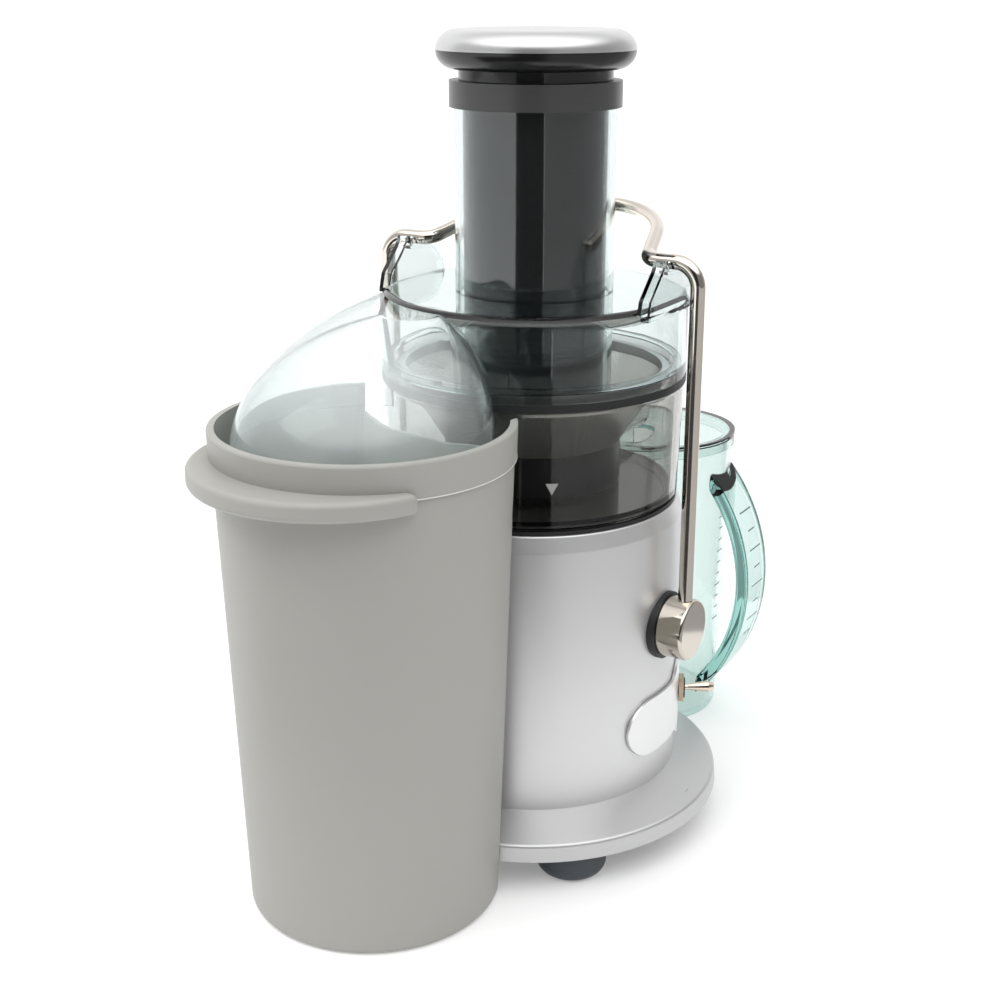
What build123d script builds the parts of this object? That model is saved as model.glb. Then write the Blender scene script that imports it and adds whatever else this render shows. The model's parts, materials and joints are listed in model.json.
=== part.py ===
from build123d import *
import os
from math import asin, atan2, cos, degrees, hypot, radians, sin, sqrt, tan

# Centrifugal juicer, in millimetres. +Z is up and z = 0 is the worktop. The spin axis is the Z axis.
# The locking arm turns about a line along Y and its front knob faces -Y. The juice spout points to +X,
# and the pulp outlet to -X, turned a little towards +Y.

# Clearances
SEAT_GAP = 0.05       # between pieces of one body that sit in each other
RUN_GAP = 0.05        # radial, between a shaft and its bearing
FREE_GAP = 0.3        # between faces of pieces that move past each other
SOFT_EDGE = 1.0       # rounding of moulded and pressed edges

# Motor base
BODY_R = 78.0
BODY_WALL = 2.8
BODY_HEIGHT = 146.3   # from the parting line with the skirt up to the deck
SHOULDER_DROP = 8.0
SHOULDER_IN = 2.5
DECK_WALL = 3.0
SKIRT_REACH = 23.7    # how far the skirt stands out past the body
SKIRT_HEIGHT = 16.7
SKIRT_BAND = 9.3      # upright band round the skirt's edge
SKIRT_WALL = 3.0
PLATE_WALL = 3.0
FOOT_HEIGHT = 17.0
FOOT_R = 18.0
FOOT_ROUND = 7.0      # rounding of a foot's lower edge
FOOT_STEM_R = 5.0
SCREW_R = 1.9
SCREW_HEAD_R = 4.0
SCREW_HEAD_HEIGHT = 2.0
POST_R = 5.0

# Front plate and toggle switch
BADGE_WALL = 2.0
BADGE_HEIGHT = 31.0
BADGE_CORNER = 7.75   # rounding where the pad meets the plate
BADGE_MID_Z = 67.5
BADGE_SPAN = 70.0     # degrees round the body
BADGE_TURN = 13.0     # degrees from the front towards the jug
SWITCH_TURN = 25.0    # degrees from the front towards the jug
SWITCH_Z = 69.0
SWITCH_PAD_R = 24.0
BUSHING_R = 5.5
BUSHING_BORE_R = 3.8
NUT_ACROSS = 13.0
NUT_HEIGHT = 2.6
LEVER_BALL_R = 3.0
LEVER_NECK_R = 1.7
LEVER_TIP_R = 3.1
LEVER_LENGTH = 20.0
LEVER_TILT = 10.0
SWITCH_CASE = (20.0, 24.0, 16.0)

# Motor
SHAFT_R = 4.0
BEARING_R = 11.0
BEARING_HEIGHT = 7.0
BRACKET_WALL = 5.0
BRACKET_HUB_WALL = 4.0
LOWER_BRACKET_Z = 42.0
UPPER_BRACKET_DROP = 30.0   # from the deck down to the upper bracket's top face
STATOR_R = 43.0
STATOR_WALL = 15.0
BRACKET_LIP = 2.0     # inner lip that keeps the bearing in its hub
COIL_GAP = 3.0        # windings to the upper bracket's hub
COIL_HEIGHT = 11.0
AIR_GAP = 0.8
ARMATURE_COIL_IN = 3.0
COMMUTATOR_R = 13.0
COMMUTATOR_HEIGHT = 10.0
BRUSH_SIDE = 6.0
BRUSH_LENGTH = 13.0
HOLDER_WALL = 2.0
FAN_R = 42.0
FAN_HEIGHT = 12.0
FAN_BLADES = 12
FAN_HUB_WALL = 5.0
FAN_BLADE_GAP = 4.0   # blades to the fan's hub
FAN_EDGE = 1.0        # blades to the fan's rim
MOTOR_BOLT_R = 2.0
MOTOR_BOLT_IN = 6.5   # bolt circle inside the core
MOUNT_R = 7.0
MOUNT_CIRCLE_R = 57.0
SEAL_R = 10.0
BOARD = (44.0, 38.0, 1.6)
BOARD_IN = 15.2       # board inside the body's wall
INLET_BORE_R = 3.6
INLET_R = 6.5
INLET_FLANGE_R = 9.0
INLET_LENGTH = 14.0
INLET_Z = 52.0
INLET_ANGLE = 60.0

# Bowl, basket and cutter
COLLAR_HEIGHT = 2.0
BOWL_IN = 0.6         # bowl's rim inside the body's side
BOWL_WALL = 2.8
BOWL_HEIGHT = 68.0
BOWL_TAPER = 2.4
BOWL_RIM_HEIGHT = 9.0
GROOVE_DEPTH = 1.2
GROOVE_HEIGHT = 4.0
HUB_R = 21.5
HUB_HEIGHT = 18.5    # above the bowl's floor
SPOUT_R = 11.2
SPOUT_WALL = 2.2
SPOUT_TIP_IN = 18.0   # spout's tip before the jug's axis
SPOUT_SLOPE = 3.0
COUPLING_R = 12.0
BASKET_LIFT = 2.0
BASKET_GAP = 5.6      # radial, basket's rim to the bowl
BASKET_BASE_R = 45.0
BASKET_BASE_WALL = 3.0
BASKET_RIM_HEIGHT = 5.0
BASKET_RIM_DROP = 2.0
MESH_WALL = 1.2
CUTTER_IN = 2.0       # cutter's edge inside the basket's base
CUTTER_WALL = 1.6
TOOTH = (5.0, 1.0, 1.6)

# Clear cover
LID_HEIGHT = 36.0
LID_WALL = 2.4
LID_EDGE_FILLET = 6.0
SPIGOT_DEPTH = 6.0
CHUTE_R = 39.7
CHUTE_WALL = 2.2
CHUTE_HEIGHT = 91.2   # above the lid
CHUTE_END_OVER_CUTTER = 3.0
DOME_GAP = 6.7        # radial, dome's lip to the bin's wall
DOME_HEIGHT = 56.0
DOME_CURVE = 2.15
RIDGE_NEAR = (-8.0, 0.9)    # the ridge's two ends: degrees from the outlet, share of the lid's radius
RIDGE_FAR = (-75.0, 0.75)
DOME_LIP = 8.0        # how deep the dome reaches into the bin
SILL_REACH = 4.0
LUG_HALF = 27.0
LUG_WALL = 6.5
LUG_SKIN = 1.6
LUG_IN = 1.0          # lug's outer face inside the lid's rim

# Pusher
PUSHER_GAP = 2.0      # radial gap in the chute
PUSHER_WALL = 2.2
PUSHER_OVER_CUTTER = 6.0
COLLAR_RING_OVER = 2.4   # collar outside the chute
COLLAR_RING_HEIGHT = 10.0
COLLAR_RING_LAP = 2.5
NECK_OVER = 2.1       # neck outside the pusher
NECK_HEIGHT = 5.0
CAP_OVER = 8.7        # cap outside the chute
CAP_LOWER_HEIGHT = 9.0
CAP_HEIGHT = 9.5
CAP_DISH = 1.2

# Locking arm
PIVOT_Z = 119.8
ROD_R = 3.7
ARM_STANDOFF = 11.2   # leg's centre line outside the body
ARM_OVER_LID = 20.0   # cross run's centre line over the lid
ARM_RUN = 27.2        # cross run, from the leg to the bend over the lid
ARM_REACH = 58.0
ARM_RISE = 16.0
ARM_HALF = 44.0       # half the arch's width
LEG_BEND = 12.0
RUN_BEND = 8.0
ARCH_BEND = 44.0
KNOB_R = 15.8
KNOB_LENGTH = 14.0
WASHER_OVER = 1.7     # washer outside the knob
WASHER_LENGTH = 2.2
PIN_R = 5.0
PIN_REACH_IN = 18.0
BUSH_R = 9.0
CLIP_R = 8.0
CLIP_WALL = 1.2
CAM_R = 8.0
CAM_LOBE = 2.5
CAM_WIDTH = 5.0
INTERLOCK = (20.0, 8.0, 10.0)

# Pulp bin
OUTLET_TURN = 9.85   # degrees from -X towards +Y
BIN_OUT = 20.3        # bin's axis outside the skirt
BIN_R = 69.8
BIN_BASE_R = 61.8
BIN_UNDER_LID = 7.5   # bin's rim under the lid's edge
BIN_WALL = 2.6
BIN_FLOOR = 3.0
BIN_BAND = 1.0
BIN_BAND_HEIGHT = 16.5
BIN_FILLET = 4.0
BIN_SKIRT_GAP = 2.3
BIN_BOWL_GAP = 8.6
MOUTH_HALF = 50.0     # half the width of the lowered machine side
MOUTH_DROP = 13.5
GRIP_REACH = 16.0
GRIP_TAPER = 3.0      # how much less the grip reaches than a round of the bin's own size
GRIP_TURN = 4.0       # degrees from the outlet towards the front
GRIP_WALL = 9.3
GRIP_DROP = 12.5
GRIP_HALF_ANGLE = 58.0

# Juice jug
JUG_GAP = 6.3         # jug's foot to the skirt
JUG_R = 46.5
JUG_BASE_R = 42.0
SPOUT_CLEARANCE = 5.0   # spout's tip over the jug's lid
JUG_WALL = 2.6
JUG_FLOOR = 5.0
JUG_RIM = 0.7
JUG_RIM_HEIGHT = 5.0
HANDLE_REACH = 23.3
HANDLE_WALL = 8.0
HANDLE_WIDTH = 32.0
HANDLE_LOW_Z = 18.0
HANDLE_TOP_DROP = 15.0   # handle's upper end under the jug's rim
JUG_LID_WALL = 2.4
JUG_LID_PLUG = 6.0
LID_SLOT = (40.0, 25.0)
SEPARATOR_WALL = 2.0
SEPARATOR_OFF = 24.0
SEPARATOR_FOOT_Z = 26.0

# Heights that follow from the stack of pieces
skirt_z = FOOT_HEIGHT
body_z = skirt_z + SKIRT_HEIGHT
deck_z = body_z + BODY_HEIGHT
shoulder_z = deck_z - SHOULDER_DROP
shoulder_r = BODY_R - SHOULDER_IN
bowl_z = deck_z + COLLAR_HEIGHT
bowl_rim_z = bowl_z + BOWL_HEIGHT
lid_z = bowl_rim_z
lid_top = lid_z + LID_HEIGHT
floor_z = bowl_z + 2.0
floor_top = floor_z + BOWL_WALL
hub_top = floor_top + HUB_HEIGHT
basket_z = hub_top + BASKET_LIFT
cutter_z = basket_z + BASKET_BASE_WALL
cutter_top = cutter_z + CUTTER_WALL + TOOTH[2]
chute_top = lid_top + CHUTE_HEIGHT
chute_end = cutter_top + CHUTE_END_OVER_CUTTER
arm_top = lid_top + ARM_OVER_LID
plate_top = skirt_z + PLATE_WALL

# Radii and places shared by pieces that meet
bowl_r = BODY_R - BOWL_IN
bin_height = lid_z - BIN_UNDER_LID
body_in = BODY_R - BODY_WALL
board_r = body_in - BOARD_IN
skirt_r = BODY_R + SKIRT_REACH
skirt_edge_r = skirt_r - 0.9
lid_r = bowl_r + 0.2
lid_in = lid_r - LID_WALL
bowl_in = bowl_r - BOWL_WALL
basket_r = bowl_in - BASKET_GAP
cutter_r = BASKET_BASE_R - CUTTER_IN
foot_circle_r = skirt_r - SKIRT_WALL - FOOT_R - 1.5
post_circle_r = (BODY_R + skirt_r) / 2
arm_y = BODY_R + ARM_STANDOFF
arm_run_y = arm_y - ARM_RUN
washer_r = KNOB_R + WASHER_OVER
washer_face = BODY_R + WASHER_LENGTH
knob_back = washer_face + FREE_GAP
stator_in = STATOR_R - STATOR_WALL
motor_bolt_circle_r = STATOR_R - MOTOR_BOLT_IN
armature_r = stator_in - AIR_GAP
upper_bracket_top = deck_z - UPPER_BRACKET_DROP
upper_bracket_z = upper_bracket_top - BRACKET_WALL
lower_bracket_top = LOWER_BRACKET_Z + BRACKET_WALL
commutator_z = lower_bracket_top + BEARING_HEIGHT + 3.0
stator_z = commutator_z + COMMUTATOR_HEIGHT + COIL_HEIGHT + 4.0
hub_low = upper_bracket_top - BEARING_HEIGHT - BRACKET_LIP
stator_top = hub_low - COIL_GAP - COIL_HEIGHT
stator_height = stator_top - stator_z
outlet = Vector(-cos(radians(OUTLET_TURN)), sin(radians(OUTLET_TURN)), 0)
bin_centre = outlet * (skirt_r + BIN_OUT)
bin_axis = Axis((bin_centre.X, bin_centre.Y, 0), (0, 0, 1))
bin_side = Plane((bin_centre.X, bin_centre.Y, 0), x_dir=outlet, z_dir=(outlet.Y, -outlet.X, 0))
dome_lip_z = bin_height - DOME_LIP
dome_r = BIN_R - BIN_WALL - DOME_GAP
jug_x = skirt_r + JUG_GAP + JUG_BASE_R
spout_tip_x = jug_x - SPOUT_TIP_IN
jug_axis = Axis((jug_x, 0, 0), (0, 0, 1))
jug_side = Plane((jug_x, 0, 0), x_dir=(1, 0, 0), z_dir=(0, -1, 0))
pusher_r = CHUTE_R - CHUTE_WALL - PUSHER_GAP
collar_ring_r = CHUTE_R + COLLAR_RING_OVER
neck_r = pusher_r + NECK_OVER
cap_r = CHUTE_R + CAP_OVER
collar_ring_z = chute_top + FREE_GAP
neck_z = collar_ring_z + COLLAR_RING_HEIGHT
cap_z = neck_z + NECK_HEIGHT
cap_joint_z = cap_z + CAP_LOWER_HEIGHT


def turn(outline, plane=Plane.XZ, axis=Axis.Z, mode=Mode.ADD):
    """Revolve a closed outline of (radius, height) points about an upright axis."""
    with BuildSketch(plane) as profile:
        with BuildLine():
            Polyline(*outline, close=True)
        make_face()
    revolve(profile.sketch, axis=axis, mode=mode)


def ring(outer, inner, low, high, mode=Mode.ADD):
    """A plain ring about the spin axis."""
    turn([(inner, low), (outer, low), (outer, high), (inner, high)], mode=mode)


def soften(piece, radius, height, size):
    """Round the circular edges of one radius at one height."""
    near = [
        edge for edge in piece.edges().filter_by(GeomType.CIRCLE)
        if abs(edge.radius - radius) < 0.02 and abs(edge.center().Z - height) < 0.02
    ]
    fillet(near, size)


def facing(angle, radius, height):
    """A plane that looks straight out of the body, at an angle from the front towards the jug."""
    out = Vector(sin(radians(angle)), -cos(radians(angle)), 0)
    return Plane(out * radius + Vector(0, 0, height), x_dir=(-out.Y, out.X, 0), z_dir=out)


# Body housing with its deck and the boss that carries the interlock switch
interlock_y = body_in - 5.0
with BuildPart() as base_housing:
    turn([
        (body_in, body_z), (BODY_R, body_z), (BODY_R, shoulder_z), (shoulder_r, deck_z),
        (SEAL_R + SEAT_GAP, deck_z), (SEAL_R + SEAT_GAP, deck_z - DECK_WALL),
        (shoulder_r - DECK_WALL, deck_z - DECK_WALL),
        (body_in, shoulder_z - DECK_WALL),
    ])
    soften(base_housing, BODY_R, shoulder_z, SOFT_EDGE * 2)
    soften(base_housing, shoulder_r, deck_z, SOFT_EDGE)
    with Locations((0, -(interlock_y + BODY_R) / 2 + 0.5, PIVOT_Z - CAM_R - CAM_LOBE - 0.5 - INTERLOCK[2] / 2)):
        Box(INTERLOCK[0], BODY_R - interlock_y - 1.0, INTERLOCK[2] + 4.0)
    with BuildSketch(Plane.XZ) as pivot_hole:
        with Locations((0, PIVOT_Z)):
            Circle(BUSH_R + SEAT_GAP)
    extrude(amount=BODY_R + 1, both=True, mode=Mode.SUBTRACT)
    with BuildSketch(facing(SWITCH_TURN, 0, SWITCH_Z)) as switch_hole:
        Circle(BUSHING_R + SEAT_GAP)
    extrude(amount=BODY_R + 1, mode=Mode.SUBTRACT)
    with BuildSketch(facing(180 - INLET_ANGLE, 0, INLET_Z)) as inlet_hole:
        Circle(INLET_R + SEAT_GAP)
    extrude(amount=BODY_R + 1, mode=Mode.SUBTRACT)

# Foot skirt with a locating lip inside the body and posts for the plate's screws
skirt_in = skirt_r - SKIRT_WALL
lip_r = body_in - SEAT_GAP
with BuildPart() as base_skirt:
    turn([
        (lip_r, body_z), (BODY_R + 0.2, body_z), (skirt_edge_r, skirt_z + SKIRT_BAND), (skirt_r, skirt_z),
        (skirt_in, skirt_z), (skirt_edge_r - SKIRT_WALL, skirt_z + SKIRT_BAND - SKIRT_WALL * 0.8),
        (BODY_R, body_z - SKIRT_WALL), (lip_r - SKIRT_WALL, body_z - SKIRT_WALL),
        (lip_r - SKIRT_WALL, body_z + 2 * SKIRT_WALL), (lip_r, body_z + 2 * SKIRT_WALL),
    ])
    soften(base_skirt, skirt_edge_r, skirt_z + SKIRT_BAND, SOFT_EDGE * 2)
    soften(base_skirt, skirt_r, skirt_z, SOFT_EDGE)
    with BuildSketch(Plane.XY.offset(plate_top)) as posts:
        with PolarLocations(post_circle_r, 4):
            Circle(POST_R)
    post_height = (skirt_z + SKIRT_BAND + body_z) / 2 - SKIRT_WALL / 2 - plate_top
    extrude(posts.sketch, amount=post_height)
    with BuildSketch(Plane.XY.offset(plate_top)) as post_bores:
        with PolarLocations(post_circle_r, 4):
            Circle(SCREW_R + SEAT_GAP)
    extrude(amount=post_height - 2.0, mode=Mode.SUBTRACT)

# Base plate with vent slots, foot sockets and screw holes
with BuildPart() as base_plate:
    with BuildSketch(Plane.XY.offset(skirt_z)) as plate_outline:
        Circle(skirt_in - 4 * SEAT_GAP - 0.3)
        with PolarLocations(foot_circle_r, 4, start_angle=45):
            Circle(FOOT_STEM_R + SEAT_GAP, mode=Mode.SUBTRACT)
        with PolarLocations(post_circle_r, 4):
            Circle(SCREW_R + SEAT_GAP, mode=Mode.SUBTRACT)
        with PolarLocations(BODY_R * 0.36, 12):
            SlotOverall(BODY_R * 0.36, 4.0, mode=Mode.SUBTRACT)
    extrude(amount=PLATE_WALL)

# Rubber feet, each with a stem that pulls through the plate
with BuildPart() as rubber_feet:
    with PolarLocations(foot_circle_r, 4, start_angle=45):
        with Locations((0, 0, FOOT_HEIGHT / 2)):
            Cylinder(FOOT_R, FOOT_HEIGHT)
        with Locations((0, 0, FOOT_HEIGHT + PLATE_WALL / 2)):
            Cylinder(FOOT_STEM_R, PLATE_WALL)
    fillet(rubber_feet.edges().filter_by(GeomType.CIRCLE).group_by(Axis.Z)[0], FOOT_ROUND)

# Screws that hold the plate to the skirt
with BuildPart() as base_screws:
    with PolarLocations(post_circle_r, 4):
        with Locations((0, 0, skirt_z - SCREW_HEAD_HEIGHT / 2)):
            Cylinder(SCREW_HEAD_R, SCREW_HEAD_HEIGHT)
        with Locations((0, 0, skirt_z + (PLATE_WALL + post_height - 3.0) / 2)):
            Cylinder(SCREW_R, PLATE_WALL + post_height - 3.0)
    chamfer(base_screws.edges().filter_by(GeomType.CIRCLE).group_by(Axis.Z)[0], SCREW_HEAD_HEIGHT * 0.3)

# Front plate, bent round the body, with a round pad for the switch
badge_out = BODY_R + SEAT_GAP + BADGE_WALL
badge_length = 2 * badge_out * sin(radians(BADGE_SPAN / 2))
switch_shift = badge_out * sin(radians(SWITCH_TURN - BADGE_TURN))
with BuildPart() as front_plate:
    with BuildSketch(facing(BADGE_TURN, 0, BADGE_MID_Z)) as badge_outline:
        SlotOverall(badge_length, BADGE_HEIGHT)
        with Locations((switch_shift, SWITCH_Z - BADGE_MID_Z)):
            Circle(SWITCH_PAD_R)
        offset(amount=BADGE_CORNER, mode=Mode.REPLACE)
        offset(amount=-BADGE_CORNER, mode=Mode.REPLACE)
    extrude(amount=badge_out + 1)
    with BuildSketch() as badge_shell:
        Circle(badge_out)
        Circle(BODY_R + SEAT_GAP, mode=Mode.SUBTRACT)
    extrude(amount=BADGE_MID_Z * 2, mode=Mode.INTERSECT)
    fillet(front_plate.faces().sort_by(SortBy.AREA)[-1].edges(), SOFT_EDGE)
    with BuildSketch(facing(SWITCH_TURN, 0, SWITCH_Z)) as badge_hole:
        Circle(BUSHING_R + SEAT_GAP)
    extrude(amount=badge_out + 1, mode=Mode.SUBTRACT)

# Switch case and threaded bushing, as one moulded block with a bored neck
bushing_end = badge_out + NUT_HEIGHT + 0.8
case_face = sqrt(body_in ** 2 - (SWITCH_CASE[0] / 2) ** 2) - SEAT_GAP
lever_pivot = badge_out - 1.0
with BuildPart() as switch_body:
    with BuildSketch(facing(SWITCH_TURN, case_face - SWITCH_CASE[2], SWITCH_Z)) as case_outline:
        RectangleRounded(SWITCH_CASE[0], SWITCH_CASE[1], 2.0)
    extrude(amount=SWITCH_CASE[2])
    with BuildSketch(facing(SWITCH_TURN, case_face - 1.0, SWITCH_Z)) as bushing_outline:
        Circle(BUSHING_R)
    extrude(amount=bushing_end - case_face + 1.0)
    with BuildSketch(facing(SWITCH_TURN, lever_pivot - LEVER_BALL_R - 1.5, SWITCH_Z)) as bushing_bore:
        Circle(BUSHING_BORE_R)
    extrude(amount=bushing_end, mode=Mode.SUBTRACT)

# Hexagon nut on the bushing
with BuildPart() as switch_nut:
    with BuildSketch(facing(SWITCH_TURN, badge_out + SEAT_GAP, SWITCH_Z)) as nut_outline:
        RegularPolygon(NUT_ACROSS / 2, 6, major_radius=False)
        Circle(BUSHING_R + SEAT_GAP, mode=Mode.SUBTRACT)
    extrude(amount=NUT_HEIGHT)

# Toggle lever, resting in its upper place
lever_out = facing(SWITCH_TURN, lever_pivot, SWITCH_Z)
lever_plane = Plane(lever_out.origin, x_dir=lever_out.z_dir, z_dir=-lever_out.x_dir).rotated((0, 0, LEVER_TILT))
lever_axis = Axis(lever_plane.origin, lever_plane.x_dir)
with BuildPart() as toggle_lever:
    with BuildSketch(lever_plane) as lever_outline:
        with BuildLine():
            Polyline(
                (0, 0), (0, LEVER_NECK_R), (LEVER_LENGTH * 0.3, LEVER_NECK_R),
                (LEVER_LENGTH * 0.85, LEVER_TIP_R), (LEVER_LENGTH, LEVER_TIP_R * 0.6), (LEVER_LENGTH, 0), close=True,
            )
        make_face()
    revolve(axis=lever_axis)
    with Locations(lever_plane.origin):
        Sphere(LEVER_BALL_R)

# Cord inlet bush in the back of the body
with BuildPart() as cord_inlet:
    with BuildSketch(facing(180 - INLET_ANGLE, BODY_R - INLET_LENGTH + 3.5, INLET_Z)) as inlet_outline:
        Circle(INLET_R)
    extrude(amount=INLET_LENGTH)
    with BuildSketch(facing(180 - INLET_ANGLE, BODY_R + SEAT_GAP, INLET_Z)) as inlet_flange:
        Circle(INLET_FLANGE_R)
    extrude(amount=3.5 - SEAT_GAP)
    with BuildSketch(facing(180 - INLET_ANGLE, 0, INLET_Z)) as inlet_bore:
        Circle(INLET_BORE_R)
    extrude(amount=BODY_R + INLET_LENGTH, mode=Mode.SUBTRACT)

# Motor brackets: flat plates with a hub that holds a bearing
with BuildPart() as lower_bracket:
    ring(STATOR_R, BEARING_R + SEAT_GAP, LOWER_BRACKET_Z, lower_bracket_top)
    ring(
        BEARING_R + BRACKET_HUB_WALL, BEARING_R + SEAT_GAP, LOWER_BRACKET_Z, lower_bracket_top + BEARING_HEIGHT / 2
    )
    ring(BEARING_R + BRACKET_HUB_WALL, SHAFT_R + 2.0, LOWER_BRACKET_Z - BRACKET_LIP, LOWER_BRACKET_Z)
    with BuildSketch(Plane.XY.offset(LOWER_BRACKET_Z)) as lower_bolt_holes:
        with PolarLocations(motor_bolt_circle_r, 4, start_angle=45):
            Circle(MOTOR_BOLT_R + SEAT_GAP)
    extrude(amount=BRACKET_WALL, mode=Mode.SUBTRACT)

with BuildPart() as upper_bracket:
    ring(MOUNT_CIRCLE_R + MOUNT_R, BEARING_R + SEAT_GAP, upper_bracket_z, upper_bracket_top)
    ring(BEARING_R + BRACKET_HUB_WALL, BEARING_R + SEAT_GAP, upper_bracket_top - BEARING_HEIGHT, upper_bracket_z)
    ring(
        BEARING_R + BRACKET_HUB_WALL, SHAFT_R + 2.0,
        hub_low, upper_bracket_top - BEARING_HEIGHT,
    )
    with BuildSketch(Plane.XY.offset(upper_bracket_z)) as upper_bolt_holes:
        with PolarLocations(motor_bolt_circle_r, 4, start_angle=45):
            Circle(MOTOR_BOLT_R + SEAT_GAP)
    extrude(amount=BRACKET_WALL, mode=Mode.SUBTRACT)

# Bearings
with BuildPart() as lower_bearing:
    ring(BEARING_R, SHAFT_R + RUN_GAP, LOWER_BRACKET_Z, LOWER_BRACKET_Z + BEARING_HEIGHT)

with BuildPart() as upper_bearing:
    ring(BEARING_R, SHAFT_R + RUN_GAP, upper_bracket_top - BEARING_HEIGHT, upper_bracket_top)

# Stator core with bolt holes, and the field windings on its two ends
with BuildPart() as stator_core:
    with BuildSketch(Plane.XY.offset(stator_z)) as stator_outline:
        Circle(STATOR_R)
        Circle(stator_in, mode=Mode.SUBTRACT)
        with PolarLocations(motor_bolt_circle_r, 4, start_angle=45):
            Circle(MOTOR_BOLT_R + SEAT_GAP, mode=Mode.SUBTRACT)
    extrude(amount=stator_height)

coil_out = motor_bolt_circle_r - MOTOR_BOLT_R - 1.0
with BuildPart() as field_windings:
    ring(coil_out, stator_in, stator_z - COIL_HEIGHT, stator_z)
    ring(coil_out, stator_in, stator_top, stator_top + COIL_HEIGHT)
    fillet(field_windings.edges().filter_by(GeomType.CIRCLE).group_by(Axis.Z)[0], 1.5)
    fillet(field_windings.edges().filter_by(GeomType.CIRCLE).group_by(Axis.Z)[-1], 1.5)

# Long bolts that clamp the brackets and the core together
with BuildPart() as motor_bolts:
    with BuildSketch(Plane.XY.offset(LOWER_BRACKET_Z)) as bolt_shanks:
        with PolarLocations(motor_bolt_circle_r, 4, start_angle=45):
            Circle(MOTOR_BOLT_R)
    extrude(amount=upper_bracket_top - LOWER_BRACKET_Z)
    with BuildSketch(Plane.XY.offset(LOWER_BRACKET_Z)) as bolt_heads:
        with PolarLocations(motor_bolt_circle_r, 4, start_angle=45):
            RegularPolygon(MOTOR_BOLT_R * 1.7, 6)
    extrude(amount=-MOTOR_BOLT_R)

# Rubber mounts that hang the motor from the deck
with BuildPart() as rubber_mounts:
    with BuildSketch(Plane.XY.offset(upper_bracket_top)) as mount_outline:
        with PolarLocations(MOUNT_CIRCLE_R, 4):
            Circle(MOUNT_R)
    extrude(amount=UPPER_BRACKET_DROP - DECK_WALL)

# Brush holders on the lower bracket, and the brushes in them
holder_side = BRUSH_SIDE + 2 * HOLDER_WALL
brush_z = commutator_z + COMMUTATOR_HEIGHT / 2
brush_tip = COMMUTATOR_R + FREE_GAP
holder_start = BEARING_R + BRACKET_HUB_WALL + 1.0
holder_length = BRUSH_LENGTH + 4.0
with BuildPart() as brush_holders:
    with BuildSketch(Plane.XY.offset(lower_bracket_top)) as holder_outline:
        with PolarLocations(holder_start + holder_length / 2, 2):
            Rectangle(holder_length, holder_side)
    extrude(amount=brush_z + holder_side / 2 - lower_bracket_top)
    with BuildSketch(Plane.YZ) as holder_bore:
        with Locations((0, brush_z)):
            Rectangle(BRUSH_SIDE + 2 * SEAT_GAP, BRUSH_SIDE + 2 * SEAT_GAP)
    extrude(amount=brush_tip + BRUSH_LENGTH + SEAT_GAP, both=True, mode=Mode.SUBTRACT)

with BuildPart() as carbon_brushes:
    with BuildSketch(Plane.XY.offset(brush_z - BRUSH_SIDE / 2)) as brush_outline:
        with PolarLocations(brush_tip + BRUSH_LENGTH / 2, 2):
            Rectangle(BRUSH_LENGTH, BRUSH_SIDE)
    extrude(amount=BRUSH_SIDE)

# Shaft, with everything that turns on it
with BuildPart() as motor_shaft:
    with BuildSketch(Plane.XY.offset(LOWER_BRACKET_Z - 1.0)) as shaft_outline:
        Circle(SHAFT_R)
    extrude(amount=basket_z - LOWER_BRACKET_Z + 1.0)

with BuildPart() as commutator:
    ring(COMMUTATOR_R, SHAFT_R + SEAT_GAP, commutator_z, commutator_z + COMMUTATOR_HEIGHT)

with BuildPart() as armature_core:
    with BuildSketch(Plane.XY.offset(stator_z)) as armature_outline:
        Circle(armature_r)
        Circle(SHAFT_R + SEAT_GAP, mode=Mode.SUBTRACT)
        with PolarLocations(armature_r, 12):
            Rectangle(5.0, 2.0, mode=Mode.SUBTRACT)
    extrude(amount=stator_height)

coil_r = armature_r - ARMATURE_COIL_IN
with BuildPart() as armature_windings:
    ring(coil_r, SHAFT_R + SEAT_GAP, stator_z - COIL_HEIGHT, stator_z)
    ring(coil_r, SHAFT_R + SEAT_GAP, stator_top, stator_top + COIL_HEIGHT)

fan_z = upper_bracket_top + 4.0
blade_start = SHAFT_R + FAN_HUB_WALL + FAN_BLADE_GAP
blade_end = FAN_R - FAN_EDGE
with BuildPart() as cooling_fan:
    ring(FAN_R, SHAFT_R + SEAT_GAP, fan_z, fan_z + 1.6)
    ring(SHAFT_R + FAN_HUB_WALL, SHAFT_R + SEAT_GAP, fan_z + 1.6, fan_z + FAN_HEIGHT)
    with BuildSketch(Plane.XY.offset(fan_z + 1.6)) as fan_blades:
        with PolarLocations((blade_start + blade_end) / 2, FAN_BLADES):
            Rectangle(blade_end - blade_start, 1.4)
    extrude(amount=FAN_HEIGHT - 1.6)

# Shaft seal in the deck
with BuildPart() as shaft_seal:
    ring(SEAL_R, SHAFT_R + RUN_GAP, deck_z - DECK_WALL, deck_z + 2.0)

# Control board, standing on the base plate
with BuildPart() as control_board:
    with BuildSketch(facing(-150, board_r, plate_top + BOARD[1] / 2)) as board_outline:
        Rectangle(BOARD[0], BOARD[1])
    extrude(amount=BOARD[2])
    with BuildSketch(facing(-150, board_r, plate_top + BOARD[1] * 0.6)) as board_parts:
        with Locations((-BOARD[0] * 0.25, 0)):
            Rectangle(BOARD[0] * 0.3, BOARD[1] * 0.4)
        with Locations((BOARD[0] * 0.22, 0)):
            Circle(BOARD[1] * 0.16)
    extrude(amount=-8.0)

# Dark ring on the deck that the bowl stands on
collar_out = shoulder_r - 1.0
with BuildPart() as top_collar:
    ring(collar_out, collar_out - 6.5, deck_z, bowl_z)

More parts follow.
